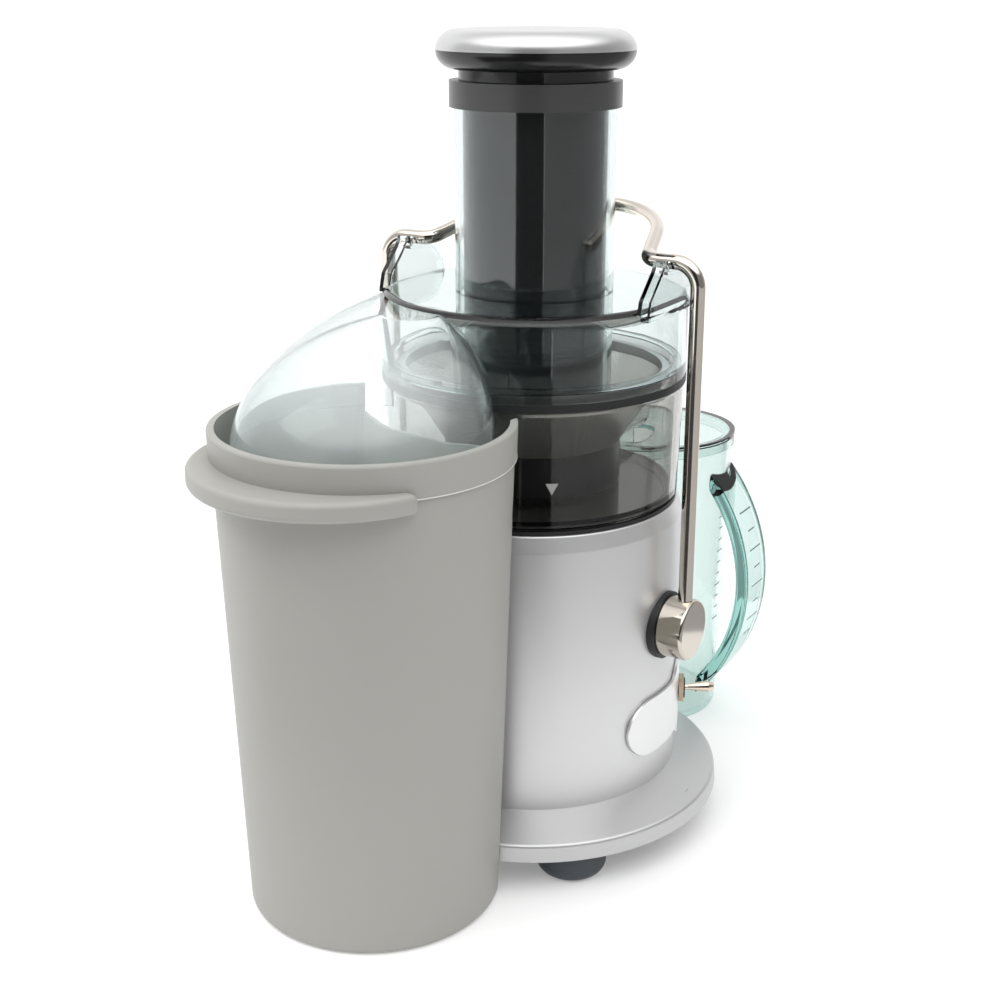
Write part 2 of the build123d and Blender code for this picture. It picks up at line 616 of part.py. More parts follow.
# Smoked bowl with a hub tube round the coupling, a seal groove and the juice spout
foot_out = collar_out - 2.0
rim_band_z = bowl_rim_z - BOWL_RIM_HEIGHT
groove_z = rim_band_z + 0.6
groove_r = bowl_r - GROOVE_DEPTH
spout_z = floor_top + SPOUT_R - SPOUT_WALL + 1.0
spout_start = bowl_in - BOWL_TAPER + BOWL_WALL * 0.45
spout_dir = Vector(cos(radians(SPOUT_SLOPE)), 0, -sin(radians(SPOUT_SLOPE)))
spout_plane = Plane((spout_start, 0, spout_z), x_dir=(0, 1, 0), z_dir=spout_dir)
with BuildPart() as filter_bowl:
    turn([
        (foot_out - 2.5, bowl_z), (foot_out, bowl_z), (bowl_r - BOWL_TAPER, floor_z),
        (bowl_r - 0.8, rim_band_z - 1.5), (bowl_r, rim_band_z), (bowl_r, groove_z), (groove_r, groove_z),
        (groove_r, groove_z + GROOVE_HEIGHT), (bowl_r, groove_z + GROOVE_HEIGHT), (bowl_r, bowl_rim_z),
        (bowl_in, bowl_rim_z), (bowl_in - 0.8, rim_band_z - 1.5), (bowl_in - BOWL_TAPER, floor_top),
        (HUB_R, floor_top), (HUB_R, hub_top), (HUB_R - BOWL_WALL, hub_top), (HUB_R - BOWL_WALL, floor_z),
        (foot_out - 2.5, floor_z),
    ])
    with BuildSketch(spout_plane) as spout_outline:
        Circle(SPOUT_R)
    extrude(amount=spout_tip_x - spout_start)
    with BuildSketch(spout_plane.offset(-4 * BOWL_WALL)) as spout_bore:
        Circle(SPOUT_R - SPOUT_WALL)
    extrude(amount=spout_tip_x, mode=Mode.SUBTRACT)

# Dark seal ring in the bowl's groove
with BuildPart() as bowl_seal:
    ring(bowl_r + 0.2, groove_r + SEAT_GAP, groove_z + SEAT_GAP, groove_z + GROOVE_HEIGHT - SEAT_GAP)

# Coupling, basket and cutter, which turn with the shaft
with BuildPart() as drive_coupling:
    with BuildSketch(Plane.XY.offset(deck_z + 4.0)) as coupling_outline:
        Circle(COUPLING_R * 0.8)
        with PolarLocations(COUPLING_R * 0.8, 6):
            Circle(COUPLING_R * 0.2)
        Circle(SHAFT_R + SEAT_GAP, mode=Mode.SUBTRACT)
    extrude(amount=basket_z - deck_z - 4.0)

with BuildPart() as basket_base:
    ring(BASKET_BASE_R, 0.0, basket_z, cutter_z)
    ring(BASKET_BASE_R, BASKET_BASE_R - BASKET_BASE_WALL, floor_top + 2.2, basket_z)

basket_rim_top = bowl_rim_z - BASKET_RIM_DROP
mesh_top = basket_rim_top - BASKET_RIM_HEIGHT
mesh_r = basket_r - 3.0
with BuildPart() as filter_mesh:
    turn([
        (BASKET_BASE_R - MESH_WALL, cutter_z), (BASKET_BASE_R, cutter_z), (mesh_r + MESH_WALL, mesh_top),
        (mesh_r, mesh_top),
    ])

with BuildPart() as basket_rim:
    ring(basket_r, mesh_r - 0.6, mesh_top, basket_rim_top)

with BuildPart() as cutting_disc:
    ring(cutter_r, 0.0, cutter_z, cutter_z + CUTTER_WALL)
    with BuildSketch(Plane.XY.offset(cutter_z + CUTTER_WALL)) as teeth:
        for count, radius in ((24, 0.88), (18, 0.66), (10, 0.42)):
            with PolarLocations(cutter_r * radius, count):
                Rectangle(TOOTH[0], TOOTH[1], rotation=35)
    extrude(amount=TOOTH[2])

# Clear cover: lid, spigot, feed chute, pulp dome with its sill, and the two lugs under the arm
dome_base = lid_top - DOME_HEIGHT
dome_steps = (1.0, 0.97, 0.92, 0.84, 0.72, 0.58, 0.42, 0.25)


def ridge_end(place):
    """A point on the lid, at an angle from the outlet and a share of the lid's radius."""
    return outlet.rotate(Axis.Z, place[0]) * (lid_r * place[1])


ridge_line = ridge_end(RIDGE_FAR) - ridge_end(RIDGE_NEAR)
ridge_angle = degrees(atan2(ridge_line.Y, ridge_line.X))


def dome(shrink, mode):
    """The pulp dome: outlines that go from the bin's round mouth up to a ridge on the lid."""
    sections = []
    for step in dome_steps:
        rise = DOME_HEIGHT * (1 - step ** DOME_CURVE) ** (1 / DOME_CURVE)
        height = dome_base + rise - shrink if step < 1 else dome_lip_z - (1.0 if shrink else 0.0)
        near = ridge_end(RIDGE_NEAR) * (1 - step) + bin_centre * step
        far = ridge_end(RIDGE_FAR) * (1 - step) + bin_centre * step
        reach = max((far - near).length, 0.4)
        middle = (near + far) * 0.5
        with BuildSketch(Plane.XY.offset(height)) as section:
            with Locations((middle.X, middle.Y)):
                SlotCenterToCenter(reach, 2 * (dome_r * step - shrink), rotation=ridge_angle)
        sections.append(section.sketch)
    loft(sections, mode=mode)


lug_outline = [
    (-LUG_HALF, lid_top - 2 * LID_WALL), (-LUG_HALF * 0.9, lid_top + ARM_OVER_LID * 0.22),
    (-LUG_HALF * 0.45, arm_top - ROD_R), (-LUG_HALF * 0.32, arm_top + ROD_R * 0.4),
    (-ROD_R - 1.6, arm_top + ROD_R * 0.2), (-ROD_R - 0.8, arm_top - ROD_R - FREE_GAP - 0.2),
    (LUG_HALF * 0.3, arm_top - ROD_R - FREE_GAP - 0.8), (LUG_HALF * 0.6, arm_top - ROD_R - FREE_GAP - 2.5),
    (LUG_HALF * 0.9, lid_top + ARM_OVER_LID * 0.25), (LUG_HALF, lid_top - 2 * LID_WALL),
]
with BuildPart() as juicer_cover:
    with BuildSketch(Plane.XY.offset(lid_z)) as lid_outline:
        Circle(lid_r)
    extrude(amount=LID_HEIGHT)
    fillet(juicer_cover.edges().group_by(Axis.Z)[-1], LID_EDGE_FILLET)
    dome(0, Mode.ADD)
    for side in (-1, 1):
        with BuildSketch(Plane((0, side * (lid_r - LUG_IN - LUG_WALL / 2), 0), x_dir=(1, 0, 0), z_dir=(0, -1, 0))):
            with BuildLine():
                Polyline(*lug_outline, close=True)
            make_face()
        extrude(amount=LUG_WALL / 2, both=True)
    with BuildSketch(Plane.XY.offset(lid_top - LID_WALL)) as lid_room:
        Circle(lid_in)
    extrude(amount=-LID_HEIGHT, mode=Mode.SUBTRACT)
    dome(LID_WALL, Mode.SUBTRACT)
    for side in (-1, 1):
        with BuildSketch(Plane((0, side * (lid_r - LUG_IN - LUG_WALL / 2), 0), x_dir=(1, 0, 0), z_dir=(0, -1, 0))) as lug:
            with BuildLine():
                Polyline(*lug_outline, close=True)
            make_face()
            offset(amount=-LUG_SKIN, mode=Mode.REPLACE)
        extrude(amount=LUG_WALL / 2 - LUG_SKIN, both=True, mode=Mode.SUBTRACT)
    with BuildSketch(Plane.XY.offset(lid_z)) as bowl_room:
        Circle(bowl_r + FREE_GAP)
    extrude(amount=-LID_HEIGHT, mode=Mode.SUBTRACT)
    turn([
        (bowl_in - 3.2, lid_z - SPIGOT_DEPTH), (bowl_in - 1.0, lid_z - SPIGOT_DEPTH), (bowl_in - 1.0, lid_z),
        (lid_r, lid_z), (lid_r, lid_z + LID_WALL), (bowl_in - 3.2, lid_z + LID_WALL),
    ])
    with BuildSketch(Plane.XY.offset(lid_z)) as sill:
        Circle(lid_r + SILL_REACH)
        Circle(lid_r - 1.0, mode=Mode.SUBTRACT)
        with Locations((bin_centre.X, bin_centre.Y)):
            Circle(dome_r - LID_WALL - 0.6, mode=Mode.INTERSECT)
    extrude(amount=LID_WALL)
    with BuildSketch(Plane.XY.offset(chute_end)) as chute_tube:
        Circle(CHUTE_R)
    extrude(amount=chute_top - chute_end)
    with BuildSketch(Plane.XY.offset(chute_end)) as chute_bore:
        Circle(CHUTE_R - CHUTE_WALL)
    extrude(amount=chute_top - chute_end, mode=Mode.SUBTRACT)

# Pusher: hollow tube, collar ring, and a cap of two halves on a short neck
pusher_end = cutter_top + PUSHER_OVER_CUTTER
with BuildPart() as pusher_tube:
    turn([
        (0, pusher_end), (pusher_r, pusher_end), (pusher_r, neck_z), (neck_r, neck_z), (neck_r, cap_z),
        (neck_r - PUSHER_WALL, cap_z), (neck_r - PUSHER_WALL, neck_z + PUSHER_WALL),
        (pusher_r - PUSHER_WALL, neck_z + PUSHER_WALL), (pusher_r - PUSHER_WALL, pusher_end + PUSHER_WALL),
        (0, pusher_end + PUSHER_WALL),
    ])

with BuildPart() as pusher_collar:
    turn([
        (pusher_r + SEAT_GAP, collar_ring_z), (CHUTE_R + 0.4, collar_ring_z),
        (CHUTE_R + 0.4, collar_ring_z - COLLAR_RING_LAP), (collar_ring_r, collar_ring_z - COLLAR_RING_LAP),
        (collar_ring_r, neck_z - SEAT_GAP), (pusher_r + SEAT_GAP, neck_z - SEAT_GAP),
    ])

with BuildPart() as pusher_cap_base:
    with BuildSketch(Plane.XZ) as cap_lower:
        with BuildLine():
            Line((0, cap_joint_z), (0, cap_z))
            Line((0, cap_z), (neck_r + 1.4, cap_z))
            EllipticalCenterArc((neck_r + 1.4, cap_joint_z), cap_r - neck_r - 1.4, CAP_LOWER_HEIGHT, -90, arc_size=90)
            Line((cap_r, cap_joint_z), (0, cap_joint_z))
        make_face()
    revolve(axis=Axis.Z)

dish_r = cap_r * 0.78
cap_top = cap_joint_z + CAP_HEIGHT
dish_sphere = ((dish_r * 0.96) ** 2 + CAP_DISH ** 2) / (2 * CAP_DISH)
with BuildPart() as pusher_cap:
    with BuildSketch(Plane.XZ) as cap_upper:
        with BuildLine():
            Line((0, cap_joint_z), (cap_r, cap_joint_z))
            EllipticalCenterArc((dish_r, cap_joint_z), cap_r - dish_r, CAP_HEIGHT, 0, arc_size=90)
            Line((dish_r, cap_top), (0, cap_top))
            Line((0, cap_top), (0, cap_joint_z))
        make_face()
    revolve(axis=Axis.Z)
    with Locations((0, 0, cap_top - CAP_DISH + dish_sphere)):
        Sphere(dish_sphere, mode=Mode.SUBTRACT)

# Locking arm: one bent rod, its knobs, and the pivot pieces at both ends
rod_end = PIVOT_Z - KNOB_R * 0.5
with BuildPart() as locking_arm:
    with BuildLine() as arm_path:
        FilletPolyline(
            (0, -arm_y, rod_end), (0, -arm_y, arm_top), (0, -arm_run_y, arm_top),
            (ARM_REACH, -ARM_HALF, arm_top + ARM_RISE), (ARM_REACH, ARM_HALF, arm_top + ARM_RISE),
            (0, arm_run_y, arm_top), (0, arm_y, arm_top), (0, arm_y, rod_end),
            radius=[LEG_BEND, RUN_BEND, ARCH_BEND, ARCH_BEND, RUN_BEND, LEG_BEND],
        )
    with BuildSketch(Plane((0, -arm_y, rod_end), z_dir=(0, 0, 1))) as rod_section:
        Circle(ROD_R)
    sweep()


def pivot(side):
    """A plane at the body's axis, looking out along the pivot to the front (-1) or the back (1)."""
    return Plane((0, 0, PIVOT_Z), x_dir=(1, 0, 0), z_dir=(0, side, 0))


def pivot_ring(side, outer, inner, low, high):
    """A ring about the pivot, between two distances from the spin axis."""
    with BuildSketch(pivot(side).offset(low)) as section:
        Circle(outer)
        if inner > 0:
            Circle(inner, mode=Mode.SUBTRACT)
    extrude(section.sketch, amount=high - low)


knobs = {}
for side, name in ((-1, "front_knob"), (1, "rear_knob")):
    with BuildPart() as knob:
        pivot_ring(side, KNOB_R, 0, knob_back, knob_back + KNOB_LENGTH)
        fillet(knob.edges().filter_by(GeomType.CIRCLE).sort_by(Axis.Y)[-1 if side > 0 else 0], 1.6)
        with BuildSketch(Plane.XY.offset(rod_end - SEAT_GAP)) as rod_socket:
            with Locations((0, side * arm_y)):
                Circle(ROD_R + SEAT_GAP)
        extrude(amount=2 * KNOB_R, mode=Mode.SUBTRACT)
        with BuildSketch(pivot(side).offset(knob_back)) as pin_socket:
            Circle(PIN_R + SEAT_GAP)
        extrude(amount=arm_y - ROD_R - knob_back - 0.6, mode=Mode.SUBTRACT)
    knobs[name] = knob

pin_in = body_in - PIN_REACH_IN
pin_out = arm_y - ROD_R - 0.7
with BuildPart() as pivot_pins:
    for side in (-1, 1):
        pivot_ring(side, PIN_R, 0, pin_in, pin_out)

with BuildPart() as pivot_bushes:
    for side in (-1, 1):
        pivot_ring(side, BUSH_R, PIN_R + RUN_GAP, body_in - 4.0, washer_face)

clip_r = body_in - 4.0 - FREE_GAP - CLIP_WALL
with BuildPart() as pivot_clips:
    for side in (-1, 1):
        pivot_ring(side, CLIP_R, PIN_R + SEAT_GAP, clip_r, clip_r + CLIP_WALL)

with BuildPart() as pivot_washers:
    for side in (-1, 1):
        pivot_ring(side, washer_r, BUSH_R + SEAT_GAP, BODY_R - 3.0, washer_face)
    with BuildSketch(Plane.XY.offset(PIVOT_Z - 2 * washer_r)) as body_room:
        Circle(BODY_R + SEAT_GAP)
    extrude(amount=4 * washer_r, mode=Mode.SUBTRACT)

with BuildPart() as interlock_cam:
    with BuildSketch(pivot(-1).offset(pin_in + 1.0)) as cam_outline:
        Circle(CAM_R)
        with Locations((0, -CAM_LOBE)):
            Circle(CAM_R)
        Circle(PIN_R + SEAT_GAP, mode=Mode.SUBTRACT)
    extrude(amount=CAM_WIDTH)

with BuildPart() as interlock_switch:
    with BuildSketch(pivot(-1).offset(interlock_y - INTERLOCK[1])) as interlock_outline:
        with Locations((0, -CAM_R - CAM_LOBE - 0.5 - INTERLOCK[2] / 2)):
            Rectangle(INTERLOCK[0], INTERLOCK[2])
    extrude(amount=INTERLOCK[1])

# Pulp bin: a tapered round bin with its machine side cut to go round the base and the bowl
bite_low = skirt_r + BIN_SKIRT_GAP
bite_high = bowl_r + BIN_BOWL_GAP


def bin_bite(extra):
    """The cone about the spin axis that hollows the bin's machine side."""
    turn([
        (0, -1), (bite_low + extra, -1), (bite_high + extra, bin_height + 1), (0, bin_height + 1),
    ], mode=Mode.SUBTRACT)


def bin_radius(height):
    """The bin's outer radius at a height."""
    return BIN_BASE_R + (BIN_R - BIN_BASE_R) * height / bin_height


band_z = bin_height - BIN_BAND_HEIGHT
grip_z = bin_height - GRIP_DROP - GRIP_WALL
grip_out = outlet.rotate(Axis.Z, GRIP_TURN)
grip_shift = bin_centre + grip_out * (GRIP_REACH + GRIP_TAPER)
grip_end = BIN_R * cos(radians(GRIP_HALF_ANGLE))
with BuildPart() as bin_room:
    turn([
        (0, BIN_FLOOR), (bin_radius(BIN_FLOOR) - BIN_WALL, BIN_FLOOR), (BIN_R - BIN_WALL, bin_height + 1),
        (0, bin_height + 1),
    ], plane=bin_side, axis=bin_axis)
    fillet(bin_room.edges().filter_by(GeomType.CIRCLE).group_by(Axis.Z)[0], BIN_FILLET - BIN_WALL)
    bin_bite(BIN_WALL)

with BuildPart() as bin_grip:
    with BuildSketch(Plane.XY.offset(grip_z)) as grip_outline:
        with Locations((grip_shift.X, grip_shift.Y)):
            Circle(BIN_R - GRIP_TAPER)
        with Locations(Location(tuple(bin_centre - grip_out * (BIN_R - grip_end)), (0, 0, GRIP_TURN - OUTLET_TURN))):
            Rectangle(2 * BIN_R, 4 * BIN_R, mode=Mode.SUBTRACT)
        fillet(grip_outline.vertices(), 2.0)
    extrude(amount=GRIP_WALL)
    fillet(bin_grip.edges().group_by(Axis.Z)[0], GRIP_WALL * 0.3)
    fillet(bin_grip.edges().group_by(Axis.Z)[-1], GRIP_WALL * 0.3)

with BuildPart() as pulp_bin:
    turn([(0, 0), (BIN_BASE_R, 0), (BIN_R, bin_height), (0, bin_height)], plane=bin_side, axis=bin_axis)
    fillet(pulp_bin.edges().filter_by(GeomType.CIRCLE).group_by(Axis.Z)[0], BIN_FILLET)
    turn([
        (0, band_z), (bin_radius(band_z) + BIN_BAND, band_z), (BIN_R + BIN_BAND, bin_height - SOFT_EDGE),
        (BIN_R + BIN_BAND - 0.3 * SOFT_EDGE, bin_height - 0.3 * SOFT_EDGE),
        (BIN_R + BIN_BAND - SOFT_EDGE, bin_height), (0, bin_height),
    ], plane=bin_side, axis=bin_axis)
    add(bin_grip.part)
    bin_bite(0)
    add(bin_room.part, mode=Mode.SUBTRACT)
    with BuildSketch(Plane.XY.offset(bin_height - MOUTH_DROP)) as mouth_cut:
        with Locations(Location(tuple(outlet * (bite_low / 2)), (0, 0, -OUTLET_TURN))):
            Rectangle(bite_low, 2 * MOUTH_HALF)
    extrude(amount=MOUTH_DROP + 1, mode=Mode.SUBTRACT)

# Juice jug with a strap handle, its lid and the froth separator
spout_low_z = spout_z - (spout_tip_x - spout_start) * tan(radians(SPOUT_SLOPE)) - SPOUT_R
jug_height = spout_low_z - SPOUT_CLEARANCE - JUG_LID_WALL
lid_seat = jug_height


def jug_radius(height):
    """The jug's outer radius at a height."""
    return JUG_BASE_R + (JUG_R - JUG_BASE_R) * height / jug_height


handle_out = JUG_R + HANDLE_REACH
handle_top_z = jug_height - HANDLE_TOP_DROP
bow_half = (handle_top_z - HANDLE_LOW_Z) / 2
bow_depth = handle_out - JUG_BASE_R
bow_r = (bow_half ** 2 + bow_depth ** 2) / (2 * bow_depth)
with BuildPart() as juice_jug:
    with BuildSketch(Plane((jug_x, 0, 0), x_dir=(0, -1, 0), z_dir=(-1, 0, 0))) as handle_outline:
        with Locations((handle_out - bow_r, (HANDLE_LOW_Z + handle_top_z) / 2)):
            Circle(bow_r)
            Circle(bow_r - HANDLE_WALL, mode=Mode.SUBTRACT)
        with Locations((JUG_BASE_R * 0.8 - bow_r, (HANDLE_LOW_Z + handle_top_z) / 2)):
            Rectangle(2 * bow_r, 3 * bow_r, mode=Mode.SUBTRACT)
    extrude(amount=HANDLE_WIDTH / 2, both=True)
    fillet(juice_jug.edges().filter_by(Plane.YZ).group_by(Axis.X)[0], HANDLE_WALL * 0.3)
    fillet(juice_jug.edges().filter_by(Plane.YZ).group_by(Axis.X)[-1], HANDLE_WALL * 0.3)
    turn([(0, 0), (JUG_BASE_R, 0), (JUG_R, jug_height), (0, jug_height)], plane=jug_side, axis=jug_axis)
    soften(juice_jug, JUG_BASE_R, 0, SOFT_EDGE * 3)
    turn([
        (0, jug_height - JUG_RIM_HEIGHT), (JUG_R + JUG_RIM, jug_height - JUG_RIM_HEIGHT),
        (JUG_R + JUG_RIM, jug_height), (0, jug_height),
    ], plane=jug_side, axis=jug_axis)
    turn([
        (0, JUG_FLOOR), (jug_radius(JUG_FLOOR) - JUG_WALL, JUG_FLOOR), (JUG_R - JUG_WALL, jug_height + 1),
        (0, jug_height + 1),
    ], plane=jug_side, axis=jug_axis, mode=Mode.SUBTRACT)

plug_r = jug_radius(jug_height - JUG_LID_PLUG) - JUG_WALL - 0.4
with BuildPart() as jug_lid:
    turn([
        (0, lid_seat), (plug_r - 2.0, lid_seat), (plug_r - 2.0, lid_seat - JUG_LID_PLUG),
        (plug_r, lid_seat - JUG_LID_PLUG), (plug_r, lid_seat), (JUG_R + JUG_RIM, lid_seat),
        (JUG_R + JUG_RIM, lid_seat + JUG_LID_WALL), (0, lid_seat + JUG_LID_WALL),
    ], plane=jug_side, axis=jug_axis)
    with BuildSketch(Plane.XY.offset(lid_seat)) as slot_outline:
        with Locations((spout_tip_x, 0)):
            SlotOverall(LID_SLOT[0], LID_SLOT[1])
    extrude(amount=JUG_LID_WALL, mode=Mode.SUBTRACT)

separator_half = sqrt((plug_r - 3.0) ** 2 - SEPARATOR_OFF ** 2)
with BuildPart() as froth_separator:
    with BuildSketch(Plane.XY.offset(SEPARATOR_FOOT_Z)) as separator_outline:
        with Locations((jug_x, SEPARATOR_OFF - SEPARATOR_WALL / 2)):
            Rectangle(2 * separator_half - 6.0, SEPARATOR_WALL)
    extrude(amount=lid_seat - SEPARATOR_FOOT_Z)

pieces = {
    "base_housing": base_housing, "base_skirt": base_skirt, "base_plate": base_plate, "rubber_feet": rubber_feet,
    "base_screws": base_screws, "front_plate": front_plate, "switch_body": switch_body, "switch_nut": switch_nut,
    "toggle_lever": toggle_lever, "cord_inlet": cord_inlet, "lower_bracket": lower_bracket,
    "upper_bracket": upper_bracket, "lower_bearing": lower_bearing, "upper_bearing": upper_bearing,
    "stator_core": stator_core, "field_windings": field_windings, "motor_bolts": motor_bolts,
    "rubber_mounts": rubber_mounts, "brush_holders": brush_holders, "carbon_brushes": carbon_brushes,
    "motor_shaft": motor_shaft, "commutator": commutator, "armature_core": armature_core,
    "armature_windings": armature_windings, "cooling_fan": cooling_fan, "shaft_seal": shaft_seal,
    "control_board": control_board, "top_collar": top_collar, "filter_bowl": filter_bowl, "bowl_seal": bowl_seal,
    "drive_coupling": drive_coupling, "basket_base": basket_base, "filter_mesh": filter_mesh,
    "basket_rim": basket_rim, "cutting_disc": cutting_disc, "juicer_cover": juicer_cover,
    "pusher_tube": pusher_tube, "pusher_collar": pusher_collar, "pusher_cap_base": pusher_cap_base,
    "pusher_cap": pusher_cap, "locking_arm": locking_arm, **knobs, "pivot_pins": pivot_pins,
    "pivot_bushes": pivot_bushes, "pivot_clips": pivot_clips, "pivot_washers": pivot_washers,
    "interlock_cam": interlock_cam, "interlock_switch": interlock_switch, "pulp_bin": pulp_bin,
    "juice_jug": juice_jug, "jug_lid": jug_lid, "froth_separator": froth_separator,
}
os.makedirs("parts", exist_ok=True)
for name, piece in pieces.items():
    piece.part.label = name
    export_step(piece.part, f"parts/{name}.step")
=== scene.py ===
"""Looks for the centrifugal juicer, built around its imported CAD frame.

The scene is in metres. +Z is up, the spin axis is the Z axis, the front knob faces -Y, the juice spout
points to +X and the pulp outlet points to -X, turned a little towards +Y.
"""
import json
import logging
from dataclasses import dataclass, field, replace
from enum import Enum
from typing import Any, Dict, List, Optional, Sequence, Tuple, Union

import bpy
import numpy as np
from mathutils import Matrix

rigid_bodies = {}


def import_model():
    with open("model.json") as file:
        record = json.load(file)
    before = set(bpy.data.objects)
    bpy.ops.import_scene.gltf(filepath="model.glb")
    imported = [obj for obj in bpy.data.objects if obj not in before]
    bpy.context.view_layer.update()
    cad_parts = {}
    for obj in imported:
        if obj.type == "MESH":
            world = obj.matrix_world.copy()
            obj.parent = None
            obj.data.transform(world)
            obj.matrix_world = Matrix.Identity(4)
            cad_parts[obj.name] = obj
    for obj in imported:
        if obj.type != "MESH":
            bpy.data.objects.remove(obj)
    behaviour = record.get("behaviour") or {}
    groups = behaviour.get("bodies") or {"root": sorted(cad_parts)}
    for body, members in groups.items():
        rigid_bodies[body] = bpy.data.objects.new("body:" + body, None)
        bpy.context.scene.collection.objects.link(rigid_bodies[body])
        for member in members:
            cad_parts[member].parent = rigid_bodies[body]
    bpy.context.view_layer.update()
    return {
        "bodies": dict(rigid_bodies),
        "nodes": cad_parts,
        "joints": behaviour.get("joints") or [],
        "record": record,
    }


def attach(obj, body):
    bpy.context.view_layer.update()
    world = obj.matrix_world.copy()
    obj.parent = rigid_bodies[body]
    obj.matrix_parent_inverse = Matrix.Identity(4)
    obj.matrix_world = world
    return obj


LOG = logging.getLogger("juicer")
Triple = Tuple[float, float, float]
Number = Union[float, "Value"]
Tint = Union[Triple, "Value"]
EVEN: Triple = (1.0, 1.0, 1.0)
MIX_FACTOR = 0
MIX_FIRST = 6
MIX_SECOND = 7
MIX_RESULT = 2


class Body(Enum):
    """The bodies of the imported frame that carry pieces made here."""

    BASE = "base"
    BIN = "bin"
    JUG = "jug"


class Slot(Enum):
    """The material slots of the record."""

    SILVER_PAINT = "silver_paint"
    PLATE_METAL = "plate_metal"
    BLACK_RUBBER = "black_rubber"
    BLACK_PLASTIC = "black_plastic"
    BRIGHT_METAL = "bright_metal"
    STEEL = "steel"
    CAST_ALLOY = "cast_alloy"
    COPPER = "copper"
    CARBON = "carbon"
    BOARD = "board"
    SMOKED_PLASTIC = "smoked_plastic"
    CLEAR_PLASTIC = "clear_plastic"
    JUG_CLEAR = "jug_clear"
    PUSHER_DARK = "pusher_dark"
    CAP_SILVER = "cap_silver"
    BIN_GREY = "bin_grey"


class Value:
    """A shader socket that takes part in plain arithmetic."""

    def __init__(self, book: "NodeBook", socket: bpy.types.NodeSocket) -> None:
        """Keep the socket and the book that its nodes are added to."""
        self.book = book
        self.socket = socket

    def _math(self, operation: str, left: Number, right: Number) -> "Value":
        """Add one Math node.

        Args:
            operation: the Math node's operation.
            left: first operand.
            right: second operand.

        Returns:
            The node's result.
        """
        return self.book.node("ShaderNodeMath", {"operation": operation}, {0: left, 1: right})

    def __add__(self, other: Number) -> "Value":
        """self + other."""
        return self._math("ADD", self, other)

    def __radd__(self, other: Number) -> "Value":
        """other + self."""
        return self._math("ADD", other, self)

    def __sub__(self, other: Number) -> "Value":
        """self - other."""
        return self._math("SUBTRACT", self, other)

    def __rsub__(self, other: Number) -> "Value":
        """other - self."""
        return self._math("SUBTRACT", other, self)

    def __mul__(self, other: Number) -> "Value":
        """self * other."""
        return self._math("MULTIPLY", self, other)

    def __rmul__(self, other: Number) -> "Value":
        """other * self."""
        return self._math("MULTIPLY", other, self)


class NodeBook:
    """A node tree and what is written into it."""

    def __init__(self, tree: bpy.types.NodeTree) -> None:
        """Empty the tree and keep it."""
        self.tree = tree
        self.tree.nodes.clear()

    def node(
        self, kind: str, settings: Dict[str, object], inputs: Dict[object, object], output: object = 0
    ) -> Value:
        """Add a node.

        Args:
            kind: Blender's type name of the node.
            settings: attributes of the node, set before its sockets.
            inputs: values or links of its sockets, by name or number.
            output: name or number of the socket to give back.

        Returns:
            The chosen output.
        """
        made = self.tree.nodes.new(kind)
        for key, setting in settings.items():
            if key == "stops":
                self._stops(made.color_ramp, setting)
            else:
                setattr(made, key, setting)
        for key, value in inputs.items():
            if isinstance(value, Value):
                self.tree.links.new(value.socket, made.inputs[key])
            elif isinstance(value, tuple) and len(value) == 3 and made.inputs[key].type == "RGBA":
                made.inputs[key].default_value = (*value, 1.0)
            else:
                made.inputs[key].default_value = value
        return Value(self, made.outputs[output])

    @staticmethod
    def _stops(ramp: bpy.types.ColorRamp, stops: Sequence[Tuple[float, float]]) -> None:
        """Give a ramp its grey stops.

        Args:
            ramp: the ramp, with its first two stops.
            stops: a place and a brightness for each stop, in order.
        """
        while len(ramp.elements) < len(stops):
            ramp.elements.new(1.0)
        for element, (spot, bright) in zip(ramp.elements, stops):
            element.position = spot
            element.color = (bright, bright, bright, 1.0)

    def tone(self, factor: Value, first: Tint, second: Tint) -> Value:
        """A colour between two, by a factor."""
        inputs = {MIX_FACTOR: factor, MIX_FIRST: first, MIX_SECOND: second}
        return self.node("ShaderNodeMix", {"data_type": "RGBA"}, inputs, MIX_RESULT)

    def axis(self, vector: Value, name: str) -> Value:
        """One of a vector's three numbers, by its axis."""
        return self.node("ShaderNodeSeparateXYZ", {}, {"Vector": vector}, name)

    def end(self, kind: str, **shaders: Value) -> None:
        """Add an output node.

        Args:
            kind: Blender's type name of the node.
            shaders: what is linked to its sockets, by their names.
        """
        last = self.tree.nodes.new(kind)
        for socket, shader in shaders.items():
            self.tree.links.new(shader.socket, last.inputs[socket])


def scaled(colour: Triple, factor: float) -> Triple:
    """A colour times a factor."""
    return tuple(min(1.0, c * factor) for c in colour)


